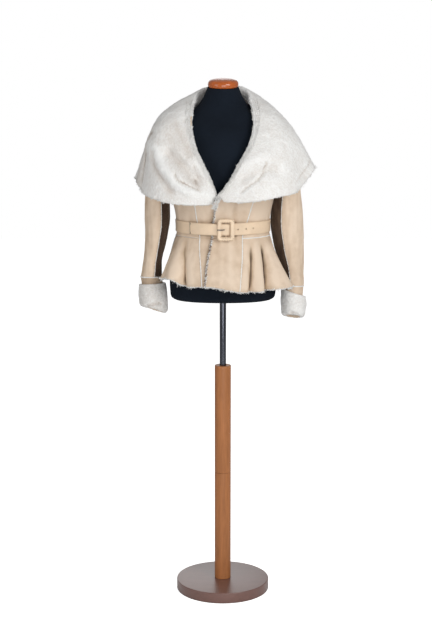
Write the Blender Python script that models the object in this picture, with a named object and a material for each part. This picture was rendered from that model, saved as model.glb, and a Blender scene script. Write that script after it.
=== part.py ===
"""A belted shearling jacket on a limbless dress form with a round wooden stand.

Metres, +Z up. The origin is the centre of the base's underside, on the floor. -Y is the front.
"left" and "right" in the names are the wearer's: left is +X. The jacket is built as it is cut:
every panel is a wall of lambskin between two seams, on one surface worked out from the form.
"""

import math
from collections import namedtuple

import bmesh
import bpy
import numpy as np

# ---------------------------------------------------------------- stand
BASE_RADIUS = 0.145
BASE_THICKNESS = 0.033
EDGE_ROUND = 0.003
POLE_RADIUS = 0.0252
POLE_JOINT_Z = 0.380
POLE_TOP_Z = 0.722
ROD_RADIUS = 0.010
ROD_CLEARANCE = 0.0006
ROD_BOTTOM_Z = 0.500
SOCKET_DEPTH = 0.050
FORM_BOTTOM_Z = 0.932
NECK_TOP_Z = 1.572
NECK_TILT = math.radians(7)
CAP_RADIUS = 0.0458
CAP_HEIGHT = 0.0245

# ---------------------------------------------------------------- cloth
WALL = 0.006
COLLAR_WALL = 0.007
SEAM = 0.0003
COLLAR_GAP = 0.0010
CLEAR = 0.0008
WAIST_SEAM_Z = 1.1275
HEM_Z = 0.985
V_POINT_Z = 1.252
NECK_SEAM_Z = 1.5115
ARMHOLE_Z = 1.385
ARMHOLE_RISE = 0.062
ARMHOLE_SPREAD = 29.0
SIDE_ANGLE = 90.0
RING_STEPS = 16
BACK_COLUMNS = 12

# ---------------------------------------------------------------- belt and buckle
BELT_Z = 1.159
BELT_HEIGHT = 0.041
BELT_THICKNESS = 0.003
BUCKLE_X = 0.008
BUCKLE_Z = 1.1575
BUCKLE_WIDTH = 0.050
BUCKLE_HEIGHT = 0.066
BUCKLE_BAR = 0.0115
BUCKLE_THICKNESS = 0.0045
BUCKLE_ANGLE = 3.5
BAR_ROOM = 0.0040
BAR_WIDTH = 0.004
BAR_INSET = 0.006
BELT_START = 2.0
TIP_ANGLE = -42.0
TIP_ROUND = 5.0
BELT_HOLES = (17.0, 28.0, 39.0)
HOLE_RADIUS = 0.0021

# The dress form, ring by ring from its underside to its neck.
Ring = namedtuple("Ring", "z half_width front back lean square")
FORM = [
    Ring(0.932, 0.1480, 0.0960, 0.1060, 0.000, 2.2),
    Ring(0.937, 0.1570, 0.1030, 0.1130, 0.000, 2.2),
    Ring(0.950, 0.1610, 0.1070, 0.1170, 0.000, 2.2),
    Ring(1.000, 0.1620, 0.1080, 0.1190, 0.000, 2.2),
    Ring(1.060, 0.1470, 0.1000, 0.1080, 0.000, 2.1),
    Ring(1.110, 0.1280, 0.0910, 0.0880, 0.000, 2.1),
    Ring(1.150, 0.1220, 0.0880, 0.0790, 0.000, 2.1),
    Ring(1.200, 0.1270, 0.0950, 0.0840, 0.000, 2.1),
    Ring(1.260, 0.1400, 0.1130, 0.0930, 0.000, 2.2),
    Ring(1.310, 0.1490, 0.1240, 0.0990, 0.000, 2.2),
    Ring(1.360, 0.1570, 0.1200, 0.1050, 0.000, 2.3),
    Ring(1.410, 0.1690, 0.1050, 0.1080, 0.002, 2.3),
    Ring(1.440, 0.1760, 0.0930, 0.1050, 0.004, 2.3),
    Ring(1.462, 0.1680, 0.0830, 0.0980, 0.004, 2.2),
    Ring(1.480, 0.1430, 0.0750, 0.0900, 0.003, 2.2),
    Ring(1.496, 0.1120, 0.0680, 0.0800, 0.002, 2.1),
    Ring(1.512, 0.0830, 0.0600, 0.0680, 0.000, 2.0),
    Ring(1.530, 0.0670, 0.0545, 0.0560, -0.002, 2.0),
    Ring(1.550, 0.0560, 0.0500, 0.0495, -0.005, 2.0),
    Ring(1.572, 0.0465, 0.0460, 0.0460, -0.008, 2.0),
]

# How far the bodice's inner face stands off the form.
Ease = namedtuple("Ease", "z ease")
EASE = [
    Ease(1.110, 0.0130),
    Ease(1.155, 0.0120),
    Ease(1.260, 0.0120),
    Ease(1.330, 0.0070),
    Ease(1.400, 0.0050),
    Ease(1.440, 0.0048),
    Ease(1.470, 0.0042),
    Ease(1.530, 0.0032),
]

# The peplum round the body: how far the hem stands out from the waist seam, and how far it drops.
Flare = namedtuple("Flare", "angle reach drop")
FLARE = [
    Flare(-180, 0.078, 0.004),
    Flare(-130, 0.062, 0.004),
    Flare(-105, 0.044, -0.008),
    Flare(-85, 0.039, -0.013),
    Flare(-62, 0.072, -0.019),
    Flare(-44, 0.069, -0.024),
    Flare(-38, 0.067, -0.006),
    Flare(-10, 0.058, -0.005),
    Flare(15, 0.065, 0.010),
    Flare(38, 0.074, 0.008),
    Flare(62, 0.083, 0.003),
    Flare(85, 0.040, 0.000),
    Flare(105, 0.044, 0.002),
    Flare(130, 0.062, 0.004),
    Flare(180, 0.078, 0.004),
]

# Flutes of the peplum: a positive depth is a ridge that stands out, a negative one a trough.
Fold = namedtuple("Fold", "waist_angle hem_angle depth width")
FOLDS = [
    Fold(34, 23, -0.024, 5.0),
    Fold(41, 30, 0.010, 4.5),
    Fold(49, 38, -0.030, 5.0),
    Fold(62, 58, 0.010, 8.0),
    Fold(-50, -35, -0.024, 5.0),
    Fold(-58, -45, 0.012, 5.0),
    Fold(-70, -68, -0.016, 5.0),
    Fold(122, 120, 0.012, 7.0),
    Fold(138, 136, -0.022, 7.0),
    Fold(152, 154, 0.020, 9.0),
    Fold(176, 178, -0.022, 8.0),
    Fold(-158, -156, 0.020, 9.0),
    Fold(-140, -138, -0.024, 7.0),
    Fold(-122, -121, 0.012, 7.0),
]

# The seams, as angles round the body at each height.
Seams = namedtuple("Seams", "z opening left_princess right_princess")
SEAMS = [
    Seams(0.970, -14.0, 11.5, -16.0),
    Seams(1.050, -14.5, 17.0, -21.5),
    Seams(1.130, -12.5, 24.0, -29.5),
    Seams(1.190, -10.5, 31.5, -33.5),
    Seams(1.250, -7.0, 35.5, -34.0),
    Seams(1.310, -6.5, 46.0, -45.0),
    Seams(1.370, -6.0, 61.0, -61.0),
]
UNDERLAP_ANGLE = 4.0
LAP_END_ANGLE = 16.0

# The collar, station by station from the front point round to the centre back: the height and
# the sideways place of its seam, where the roll lies, a point that the fall passes over, and the
# outer edge. x is measured to the side it is on.
Station = namedtuple(
    "Station",
    "neck_z neck_x roll_x roll_y roll_z over_x over_y over_z edge_x edge_y edge_z",
)
COLLAR_LEFT = [
    Station(1.2535, -0.011, -0.014, -0.158, 1.262, -0.003, -0.169, 1.254, 0.003, -0.170, 1.245),
    Station(1.280, 0.020, 0.009, -0.158, 1.286, 0.034, -0.173, 1.268, 0.056, -0.176, 1.244),
    Station(1.333, 0.053, 0.041, -0.158, 1.338, 0.080, -0.175, 1.299, 0.112, -0.180, 1.250),
    Station(1.380, 0.081, 0.068, -0.147, 1.384, 0.121, -0.166, 1.339, 0.166, -0.166, 1.260),
    Station(1.420, 0.099, 0.086, -0.126, 1.425, 0.156, -0.141, 1.380, 0.210, -0.134, 1.268),
    Station(1.456, 0.107, 0.095, -0.094, 1.464, 0.184, -0.100, 1.426, 0.233, -0.090, 1.286),
    Station(1.486, 0.101, 0.093, -0.056, 1.504, 0.196, -0.048, 1.452, 0.273, -0.026, 1.330),
    Station(1.5115, 0.091, 0.085, -0.016, 1.533, 0.191, 0.012, 1.468, 0.266, 0.046, 1.334),
    Station(1.5115, 0.000, 0.078, 0.024, 1.552, 0.164, 0.064, 1.474, 0.228, 0.112, 1.330),
    Station(1.5115, 0.000, 0.052, 0.058, 1.567, 0.098, 0.108, 1.492, 0.134, 0.158, 1.318),
    Station(1.5115, 0.000, 0.000, 0.074, 1.570, 0.000, 0.128, 1.484, 0.000, 0.178, 1.306),
]
COLLAR_RIGHT = [
    Station(1.2535, 0.028, 0.023, -0.153, 1.264, 0.028, -0.163, 1.252, 0.030, -0.164, 1.238),
    Station(1.280, 0.040, 0.029, -0.156, 1.286, 0.050, -0.173, 1.262, 0.068, -0.176, 1.236),
    Station(1.333, 0.064, 0.054, -0.156, 1.336, 0.086, -0.176, 1.293, 0.114, -0.182, 1.238),
    Station(1.380, 0.086, 0.076, -0.144, 1.384, 0.124, -0.168, 1.334, 0.160, -0.172, 1.242),
    Station(1.420, 0.101, 0.089, -0.123, 1.425, 0.156, -0.144, 1.378, 0.204, -0.146, 1.253),
    Station(1.456, 0.108, 0.096, -0.094, 1.464, 0.192, -0.106, 1.433, 0.235, -0.100, 1.264),
    Station(1.486, 0.101, 0.095, -0.056, 1.504, 0.197, -0.052, 1.466, 0.257, -0.030, 1.296),
    Station(1.5115, 0.091, 0.090, -0.016, 1.533, 0.195, 0.004, 1.478, 0.266, 0.034, 1.300),
    Station(1.5115, 0.000, 0.081, 0.024, 1.552, 0.166, 0.062, 1.490, 0.236, 0.104, 1.312),
    Station(1.5115, 0.000, 0.052, 0.058, 1.567, 0.098, 0.108, 1.492, 0.134, 0.158, 1.314),
    Station(1.5115, 0.000, 0.000, 0.074, 1.570, 0.000, 0.128, 1.484, 0.000, 0.178, 1.306),
]
NECK_POINT_STATION = 7
ROLL_SHARE = 0.2
OVER_SHARE = 0.62
COLLAR_SHARES = [0, 0.04, 0.09, 0.15, 0.22, 0.3, 0.39, 0.48, 0.58, 0.68, 0.79, 0.9, 1.0]

# The collar's folds, each from one place on it to another, as (station, share of its width). A
# positive height is a ridge, a negative one a trough.
Crease = namedtuple("Crease", "station share end_station end_share height width")
CREASES_LEFT = [
    Crease(6.0, 0.40, 9.0, 0.40, 0.009, 0.045),
    Crease(3.5, 0.72, 2.0, 0.44, -0.011, 0.018),
    Crease(3.6, 0.50, 2.2, 0.30, 0.005, 0.020),
]
CREASES_RIGHT = [
    Crease(4.1, 0.62, 1.9, 0.46, -0.015, 0.018),
    Crease(5.4, 0.74, 1.9, 0.76, 0.007, 0.022),
    Crease(5.4, 0.27, 3.4, 0.30, -0.005, 0.018),
    Crease(5.7, 0.66, 5.7, 1.00, 0.005, 0.018),
    Crease(6.5, 0.66, 6.5, 1.00, -0.006, 0.018),
]

# The sleeves below the armhole: the outer and inner outline seen from the front, the middle and
# half depth seen from the side, and how much higher the front of the ring is than its middle.
Cuff = namedtuple("Cuff", "outer_x outer_z inner_x inner_z mid_y half_depth front_rise")
SLEEVE_LEFT = [
    Cuff(0.2025, 1.4365, 0.1800, 1.3220, 0.002, 0.064, 0.000),
    Cuff(0.2200, 1.4000, 0.1760, 1.3080, 0.004, 0.066, 0.000),
    Cuff(0.2300, 1.3400, 0.1640, 1.2850, 0.010, 0.066, 0.000),
    Cuff(0.2360, 1.2600, 0.1530, 1.2400, 0.022, 0.064, 0.000),
    Cuff(0.2460, 1.1700, 0.1455, 1.1600, 0.036, 0.060, 0.000),
    Cuff(0.2490, 1.0900, 0.1590, 1.0850, 0.040, 0.055, 0.000),
    Cuff(0.2480, 1.0250, 0.1780, 1.0250, 0.028, 0.050, 0.002),
    Cuff(0.2480, 0.9700, 0.1880, 0.9720, 0.010, 0.046, 0.004),
]
SLEEVE_RIGHT = [
    Cuff(0.2025, 1.4365, 0.1800, 1.3220, 0.002, 0.064, 0.000),
    Cuff(0.2190, 1.4000, 0.1780, 1.3080, 0.004, 0.066, 0.000),
    Cuff(0.2300, 1.3400, 0.1700, 1.2850, 0.006, 0.066, 0.000),
    Cuff(0.2360, 1.2600, 0.1630, 1.2400, 0.008, 0.064, 0.000),
    Cuff(0.2380, 1.1800, 0.1620, 1.1700, 0.010, 0.060, 0.000),
    Cuff(0.2380, 1.1100, 0.1735, 1.1050, 0.012, 0.055, 0.000),
    Cuff(0.2430, 1.0500, 0.1860, 1.0500, 0.012, 0.051, 0.002),
    Cuff(0.2520, 0.9980, 0.1880, 0.9980, 0.010, 0.048, 0.004),
]
# The band below the wrist seam, down to the fold of the turned-back cuff.
WRIST_LEFT = [
    Cuff(0.2480, 0.9690, 0.1880, 0.9710, 0.010, 0.0460, 0.004),
    Cuff(0.2450, 0.9380, 0.1890, 0.9420, 0.007, 0.0440, 0.006),
    Cuff(0.2440, 0.9060, 0.1900, 0.9110, 0.003, 0.0430, 0.009),
    Cuff(0.2410, 0.8740, 0.1920, 0.8800, -0.002, 0.0420, 0.012),
]
WRIST_RIGHT = [
    Cuff(0.2520, 0.9976, 0.1880, 0.9976, 0.010, 0.0480, 0.004),
    Cuff(0.2480, 0.9680, 0.1840, 0.9680, 0.007, 0.0460, 0.006),
    Cuff(0.2470, 0.9390, 0.1820, 0.9300, 0.003, 0.0440, 0.008),
    Cuff(0.2450, 0.9090, 0.1800, 0.8880, -0.002, 0.0430, 0.010),
]
# The turned-back cuffs: how far up the band they reach, as a share of it, and how much lower
# their upper edge runs on the outer side.
CUFF_REACH_LEFT = 0.84
CUFF_REACH_RIGHT = 0.76
CUFF_SLANT_LEFT = 0.20
CUFF_SLANT_RIGHT = 0.04
CUFF_WALL = 0.0085
BAND_END = 0.90
WRIST_LEVEL_Z = 1.0
FRONT_SEAM_STEP = 5
BACK_SEAM_STEP = 11


# ---------------------------------------------------------------- curves and surfaces
def smooth(rows, column, at):
    """A column of a table as a smooth curve through its rows, keyed by the first column."""
    keys = [row[0] for row in rows]
    values = [getattr(row, column) for row in rows]
    at = min(max(at, keys[0]), keys[-1])
    i = min(max(int(np.searchsorted(keys, at, side="right")) - 1, 0), len(keys) - 2)

    def slope(k):
        if k == 0:
            return (values[1] - values[0]) / (keys[1] - keys[0])
        if k == len(keys) - 1:
            return (values[-1] - values[-2]) / (keys[-1] - keys[-2])
        return (values[k + 1] - values[k - 1]) / (keys[k + 1] - keys[k - 1])

    span = keys[i + 1] - keys[i]
    t = (at - keys[i]) / span
    return (
        (2 * t**3 - 3 * t**2 + 1) * values[i]
        + (t**3 - 2 * t**2 + t) * span * slope(i)
        + (3 * t**2 - 2 * t**3) * values[i + 1]
        + (t**3 - t**2) * span * slope(i + 1)
    )


def along(rows, at):
    """A row between the rows of a table, at a row number that may be a fraction."""
    at = min(max(at, 0.0), len(rows) - 1.0)
    i = min(int(at), len(rows) - 2)
    t = at - i
    points = [np.array(rows[min(max(k, 0), len(rows) - 1)], float) for k in range(i - 1, i + 3)]
    before, start, end, after = points
    return type(rows[0])(*(
        start
        + 0.5 * t * (end - before)
        + t**2 * (before - 2.5 * start + 2 * end - 0.5 * after)
        + t**3 * (1.5 * (start - end) + 0.5 * (after - before))
    ))


def ease_in(value, start, end):
    """0 before start, 1 after end, and a smooth rise between them."""
    t = min(max((value - start) / (end - start), 0.0), 1.0)
    return t * t * (3 - 2 * t)


def unit(vector):
    return vector / max(float(np.linalg.norm(vector)), 1e-12)


def wrap(angle):
    """An angle in degrees between -180 and 180."""
    return (angle + 180.0) % 360.0 - 180.0


def squared(value, square):
    return math.copysign(abs(value) ** (2.0 / square), value)


def form_point(angle, z):
    """A point on the dress form. Angle 0 is the front, 90 the wearer's left side."""
    turn = math.radians(angle)
    square = smooth(FORM, "square", z)
    across = squared(math.sin(turn), square)
    ahead = squared(math.cos(turn), square)
    depth = smooth(FORM, "front" if ahead > 0 else "back", z)
    x = smooth(FORM, "half_width", z) * across
    y = smooth(FORM, "lean", z) - depth * ahead
    tilt = math.tan(NECK_TILT) * ease_in(z, NECK_SEAM_Z, NECK_TOP_Z)
    return np.array([x, y, z + tilt * (y - smooth(FORM, "lean", z))])


def normal_of(surface, u, v, step_u, step_v):
    """The unit normal of a surface, on the side that (d/du x d/dv) points to."""
    across = surface(u + step_u, v) - surface(u - step_u, v)
    up = surface(u, v + step_v) - surface(u, v - step_v)
    return unit(np.cross(across, up))


def bodice_point(angle, z, offset=0.0):
    """A point on the bodice: offset 0 is its inner face, WALL its outer face."""
    out = normal_of(form_point, angle, z, 1.0, 0.002)
    return form_point(angle, z) + out * (smooth(EASE, "ease", z) + offset)


def peplum_point(angle, z, offset=0.0):
    """A point on the flared skirt below the waist seam, at a height measured before its drop."""
    angle = wrap(angle)
    share = (WAIST_SEAM_Z - z) / (WAIST_SEAM_Z - HEM_Z)
    turn = math.radians(angle)
    out = unit(np.array([math.sin(turn), -math.cos(turn) * 0.8, 0.0]))
    reach = smooth(FLARE, "reach", angle) * share**0.95
    for fold in FOLDS:
        centre = fold.waist_angle + (fold.hem_angle - fold.waist_angle) * share
        away = wrap(angle - centre) / fold.width
        reach += fold.depth * share**1.3 * math.exp(-away * away)
    at = bodice_point(angle, WAIST_SEAM_Z, offset) + out * reach
    at[2] = z - smooth(FLARE, "drop", angle) * share
    return at


def jacket_point(angle, z, offset=0.0):
    """A point on the jacket's body, above or below the waist seam."""
    if z >= WAIST_SEAM_Z:
        return bodice_point(angle, z, offset)

    def face(a, height):
        return peplum_point(a, height)

    out = normal_of(face, angle, min(z, WAIST_SEAM_Z - 0.004), 1.0, 0.003)
    level = unit(np.array([out[0], out[1], out[2] * 0.5]))
    return peplum_point(angle, z) + level * offset


def lap(angle, z):
    """How far the overlapping left front stands out to clear the right front under it."""
    ends = ease_in(z, V_POINT_Z - 0.002, V_POINT_Z + 0.03)
    return (WALL + 2 * CLEAR) * (1 - ease_in(angle, UNDERLAP_ANGLE + 1.5, LAP_END_ANGLE)) * (1 - ends)


def armhole(step, shrink=0.0):
    """(angle from the side, height) of a point on the armhole; step 0 is its top, then the front."""
    turn = math.radians(step * 360.0 / RING_STEPS)
    rise = ARMHOLE_RISE - shrink
    spread = ARMHOLE_SPREAD * rise / ARMHOLE_RISE
    return -spread * math.sin(turn), ARMHOLE_Z + rise * math.cos(turn)


def armhole_gap(z):
    """The angle from the side line to the armhole's edge at a height, 0 above and below it."""
    rise = ARMHOLE_RISE - WALL
    part = (z - ARMHOLE_Z) / rise
    if abs(part) >= 1.0:
        return 0.0
    return ARMHOLE_SPREAD * rise / ARMHOLE_RISE * math.sqrt(1 - part * part)


def solve(function, target, low, high):
    """Where a rising function reaches a target."""
    for _ in range(40):
        middle = 0.5 * (low + high)
        if function(middle) < target:
            low = middle
        else:
            high = middle
    return 0.5 * (low + high)


def neck_angle(stations, station):
    """The angle, on its own side, at which the collar is sewn to the bodice at a station."""
    if station >= NECK_POINT_STATION:
        start = neck_angle(stations, NECK_POINT_STATION - 1e-6)
        last = len(stations) - 1
        return start + (180.0 - start) * (station - NECK_POINT_STATION) / (last - NECK_POINT_STATION)
    row = along(stations, station)
    z = min(row.neck_z, NECK_SEAM_Z)
    return solve(lambda a: bodice_point(a, z, WALL / 2)[0], row.neck_x, -30.0, 89.0)


def neck_station(stations, z):
    """The station whose seam is at a height above the front point."""
    return solve(lambda s: along(stations, s).neck_z, z, 0.0, NECK_POINT_STATION - 1e-6)


def neckline(stations, z):
    """The angle, on its own side, of the neckline at a height above the front point."""
    return neck_angle(stations, neck_station(stations, z))


# ---------------------------------------------------------------- heights shared by the panels
PEPLUM_LEVELS = list(np.linspace(HEM_Z, WAIST_SEAM_Z - SEAM, 6))
BELT_TOP_Z = BELT_Z + BELT_HEIGHT / 2
BELT_BOTTOM_Z = BELT_Z - BELT_HEIGHT / 2
MIDRIFF_Z = (BELT_TOP_Z + V_POINT_Z) / 2
BODICE_LEVELS = [WAIST_SEAM_Z, BELT_BOTTOM_Z, BELT_TOP_Z, MIDRIFF_Z, V_POINT_Z, 1.275, 1.300]
ARMHOLE_LEVELS = [armhole(step, WALL)[1] for step in range(RING_STEPS // 2, -1, -1)]
SHOULDER_LEVELS = [1.460, 1.477, 1.495, NECK_SEAM_Z]
UPPER_LEVELS = ARMHOLE_LEVELS + SHOULDER_LEVELS
PRINCESS_TOP = ARMHOLE_LEVELS[3]


def seam_gap(z):
    """Half the gap at a seam, as an angle at that height."""
    return math.degrees(0.5 * SEAM * 1.3 / (0.8 * smooth(FORM, "half_width", z)))


# ---------------------------------------------------------------- meshes
def new_object(name, mesh, material):
    mesh.materials.append(material)
    thing = bpy.data.objects.new(name, mesh)
    bpy.context.scene.collection.objects.link(thing)
    return thing


def from_faces(name, points, faces, material, sharp=35.0):
    """One object from points and faces, its faces turned outwards and shaded smooth."""
    work = bmesh.new()
    corners = [work.verts.new([float(c) for c in p]) for p in points]
    for face in faces:
        work.faces.new([corners[i] for i in face])
    bmesh.ops.recalc_face_normals(work, faces=work.faces)
    if work.calc_volume(signed=True) < 0:
        bmesh.ops.reverse_faces(work, faces=work.faces)
    mesh = bpy.data.meshes.new(name)
    work.to_mesh(mesh)
    work.free()
    mesh.shade_smooth()
    mesh.set_sharp_from_angle(angle=math.radians(sharp))
    return new_object(name, mesh, material)


def wall(name, outer, inner, material, closed=False):
    """A solid between two grids of points with the same rows and columns."""
    rows, columns = len(outer), len(outer[0])
    points = [p for row in outer for p in row] + [p for row in inner for p in row]
    below = rows * columns

    def at(side, i, j):
        return side * below + i * columns + j % columns

    faces = []
    steps = columns if closed else columns - 1
    for i in range(rows - 1):
        for j in range(steps):
            faces.append([at(0, i, j), at(0, i, j + 1), at(0, i + 1, j + 1), at(0, i + 1, j)])
            faces.append([at(1, i, j), at(1, i + 1, j), at(1, i + 1, j + 1), at(1, i, j + 1)])
    for j in range(steps):
        for i in (0, rows - 1):
            faces.append([at(0, i, j), at(1, i, j), at(1, i, j + 1), at(0, i, j + 1)])
    if not closed:
        for i in range(rows - 1):
            for j in (0, columns - 1):
                faces.append([at(0, i, j), at(0, i + 1, j), at(1, i + 1, j), at(1, i, j)])
    return from_faces(name, points, faces, material)


def turned(name, profile, material, steps=48):
    """A solid turned about Z from a profile of (radius, height), from its bottom to its top.

    A profile that starts and ends off the axis is closed into a ring, as for a tube.
    """
    points = []
    rings = []
    for radius, height in profile:
        if radius < 1e-9:
            rings.append([len(points)])
            points.append((0.0, 0.0, height))
            continue
        rings.append(list(range(len(points), len(points) + steps)))
        for k in range(steps):
            turn = 2 * math.pi * k / steps
            points.append((radius * math.cos(turn), radius * math.sin(turn), height))
    pairs = list(zip(rings, rings[1:]))
    if len(rings[0]) > 1:
        pairs.append((rings[-1], rings[0]))
    faces = []
    for low, high in pairs:
        for k in range(steps):
            face = [low[k % len(low)], low[(k + 1) % len(low)]]
            face += [high[(k + 1) % len(high)], high[k % len(high)]]
            faces.append(list(dict.fromkeys(face)))
    return from_faces(name, points, faces, material)


def cut(thing, cutter):
    """Takes a helper's shape out of an object and removes the helper."""
    combine(thing, cutter, "DIFFERENCE")


def combine(thing, helper, operation):
    modifier = thing.modifiers.new(operation.title(), "BOOLEAN")
    modifier.operation = operation
    modifier.object = helper
    graph = bpy.context.evaluated_depsgraph_get()
    mesh = bpy.data.meshes.new_from_object(thing.evaluated_get(graph))
    thing.modifiers.clear()
    thing.data = mesh
    bpy.data.objects.remove(helper)


def finish(name, colour, roughness, metallic=0.0):
    material = bpy.data.materials.new(name)
    material.use_nodes = True
    shader = material.node_tree.nodes["Principled BSDF"]
    shader.inputs["Base Color"].default_value = (*colour, 1.0)
    shader.inputs["Roughness"].default_value = roughness
    shader.inputs["Metallic"].default_value = metallic
    material.diffuse_color = (*colour, 1.0)
    return material


# ---------------------------------------------------------------- the stand and the form
def build_stand(wood, walnut, steel):
    top = BASE_THICKNESS
    rim = BASE_RADIUS - EDGE_ROUND
    turned("base", [(0, 0), (rim, 0), (BASE_RADIUS, EDGE_ROUND), (BASE_RADIUS, top - EDGE_ROUND),
                    (rim, top), (0, top)], walnut, 64)
    turned("pole_lower", pole_profile(top + SEAM, POLE_JOINT_Z - SEAM, 0.0), wood)
    bore = ROD_RADIUS + ROD_CLEARANCE
    turned("pole_upper", pole_profile(POLE_JOINT_Z, POLE_TOP_Z, bore), wood)
    reach = FORM_BOTTOM_Z + SOCKET_DEPTH - 2 * CLEAR
    turned("rod", [(0, ROD_BOTTOM_Z), (ROD_RADIUS, ROD_BOTTOM_Z), (ROD_RADIUS, reach), (0, reach)],
           steel, 24)


def pole_profile(low, high, bore):
    """A wooden pole with a small chamfer at each end, bored right through if bore is given."""
    chamfer = 0.0015
    return [(bore, low), (POLE_RADIUS - chamfer, low), (POLE_RADIUS, low + chamfer),
            (POLE_RADIUS, high - chamfer), (POLE_RADIUS - chamfer, high), (bore, high)]


def build_form(jersey, cap_wood):
    steps = 40
    heights = []
    for low, high in zip(FORM, FORM[1:]):
        pieces = 2 if high.z - low.z > 0.035 else 1
        heights += [low.z + (high.z - low.z) * k / pieces for k in range(pieces)]
    heights.append(NECK_TOP_Z)
    points = [form_point(360.0 * k / steps, z) for z in heights for k in range(steps)]
    faces = [list(range(steps)), list(range(len(points) - steps, len(points)))]
    for i in range(len(heights) - 1):
        for k in range(steps):
            low, high = i * steps, (i + 1) * steps
            faces.append([low + k, low + (k + 1) % steps, high + (k + 1) % steps, high + k])
    form = from_faces("dress_form", points, faces, jersey)
    bore = ROD_RADIUS + ROD_CLEARANCE
    socket = turned("socket_cutter", [(0, FORM_BOTTOM_Z - 0.02), (bore, FORM_BOTTOM_Z - 0.02),
                                      (bore, FORM_BOTTOM_Z + SOCKET_DEPTH),
                                      (0, FORM_BOTTOM_Z + SOCKET_DEPTH)], jersey, 24)
    cut(form, socket)
    form.data.shade_smooth()
    form.data.set_sharp_from_angle(angle=math.radians(35))
    build_cap(cap_wood)


def build_cap(cap_wood):
    """The turned wooden cap, seated on the neck and tilted forwards with it."""
    r, h = CAP_RADIUS, CAP_HEIGHT
    profile = [(0, 0), (0.94 * r, 0), (0.99 * r, 0.14 * h), (r, 0.38 * h), (0.965 * r, 0.62 * h),
               (0.84 * r, 0.83 * h), (0.55 * r, 0.96 * h), (0, h)]
    cap = turned("neck_cap", profile, cap_wood)
    seat = form_point(0, NECK_TOP_Z) * 0.5 + form_point(180, NECK_TOP_Z) * 0.5
    cap.location = (0, float(seat[1]), float(seat[2]) + 0.0005)
    cap.rotation_euler = (NECK_TILT, 0, 0)


# ---------------------------------------------------------------- the jacket's body
def panel(name, levels, left, right, columns, material, lift=None):
    """A body panel between two seams, each given as a function of height that returns an angle."""
    outer, inner = [], []
    for z in levels:
        start = left(z) + seam_gap(z)
        end = right(z) - seam_gap(z)
        angles = [start + (end - start) * k / columns for k in range(columns + 1)]
        extra = [lift(a, z) if lift else 0.0 for a in angles]
        outer.append([jacket_point(a, z, WALL + e) for a, e in zip(angles, extra)])
        inner.append([jacket_point(a, z, e) for a, e in zip(angles, extra)])
    return wall(name, outer, inner, material)


def build_fronts(suede):
    """The two centre fronts run whole from the hem to the shoulder, left over right."""
    levels = PEPLUM_LEVELS + BODICE_LEVELS + UPPER_LEVELS

    def shoulder_side(z, princess):
        if z <= PRINCESS_TOP:
            return smooth(SEAMS, princess, z)
        return math.copysign(SIDE_ANGLE - armhole_gap(z), smooth(SEAMS, princess, z))

    def left_edge(z):
        if z < V_POINT_Z:
            return smooth(SEAMS, "opening", z)
        return neckline(COLLAR_LEFT, z)

    def right_edge(z):
        return UNDERLAP_ANGLE if z < V_POINT_Z else -neckline(COLLAR_RIGHT, z)

    panel("front_left", levels, left_edge, lambda z: shoulder_side(z, "left_princess"), 7,
          suede, lap)
    panel("front_right", levels, lambda z: shoulder_side(z, "right_princess"), right_edge, 6,
          suede)


def build_sides(suede):
    """The side fronts, from the waist seam up to where the princess seam meets the armhole."""
    levels = BODICE_LEVELS + ARMHOLE_LEVELS[:3] + [PRINCESS_TOP - 0.006]
    panel("side_front_left", levels, lambda z: smooth(SEAMS, "left_princess", z),
          lambda z: SIDE_ANGLE - armhole_gap(z), 5, suede)
    panel("side_front_right", levels, lambda z: armhole_gap(z) - SIDE_ANGLE,
          lambda z: smooth(SEAMS, "right_princess", z), 5, suede)


def build_back(suede):
    levels = BODICE_LEVELS + UPPER_LEVELS
    panel("back", levels, lambda z: SIDE_ANGLE + armhole_gap(z),
          lambda z: 360 - SIDE_ANGLE - armhole_gap(z), BACK_COLUMNS, suede)


def build_peplum(suede):
    panel("peplum_left", PEPLUM_LEVELS, lambda z: smooth(SEAMS, "left_princess", z),
          lambda z: SIDE_ANGLE, 17, suede)
    panel("peplum_right", PEPLUM_LEVELS, lambda z: -SIDE_ANGLE,
          lambda z: smooth(SEAMS, "right_princess", z), 17, suede)
    panel("peplum_back", PEPLUM_LEVELS, lambda z: SIDE_ANGLE,
          lambda z: 360 - SIDE_ANGLE, 26, suede)


# ---------------------------------------------------------------- the collar
def neck_edge(stations, side, station, offset):
    """A point on the edge of the body's neckline at a station."""
    angle = neck_angle(stations, station)
    z = min(along(stations, station).neck_z, NECK_SEAM_Z)
    raised = lap(angle, z) if side > 0 else 0.0
    return bodice_point(side * angle, z, offset + raised)


def sewn_edge(stations, side, station, offset):
    """The collar's own edge at the neck seam, a seam's gap away from the body's neckline."""
    near = neck_edge(stations, side, station, offset)
    ahead = neck_edge(stations, side, station + 0.05, offset)
    behind = neck_edge(stations, side, station - 0.05, offset)
    raised = neck_edge(stations, side, station, offset + 0.001)
    return near - unit(np.cross(ahead - behind, raised - near)) * side * COLLAR_GAP


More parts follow.
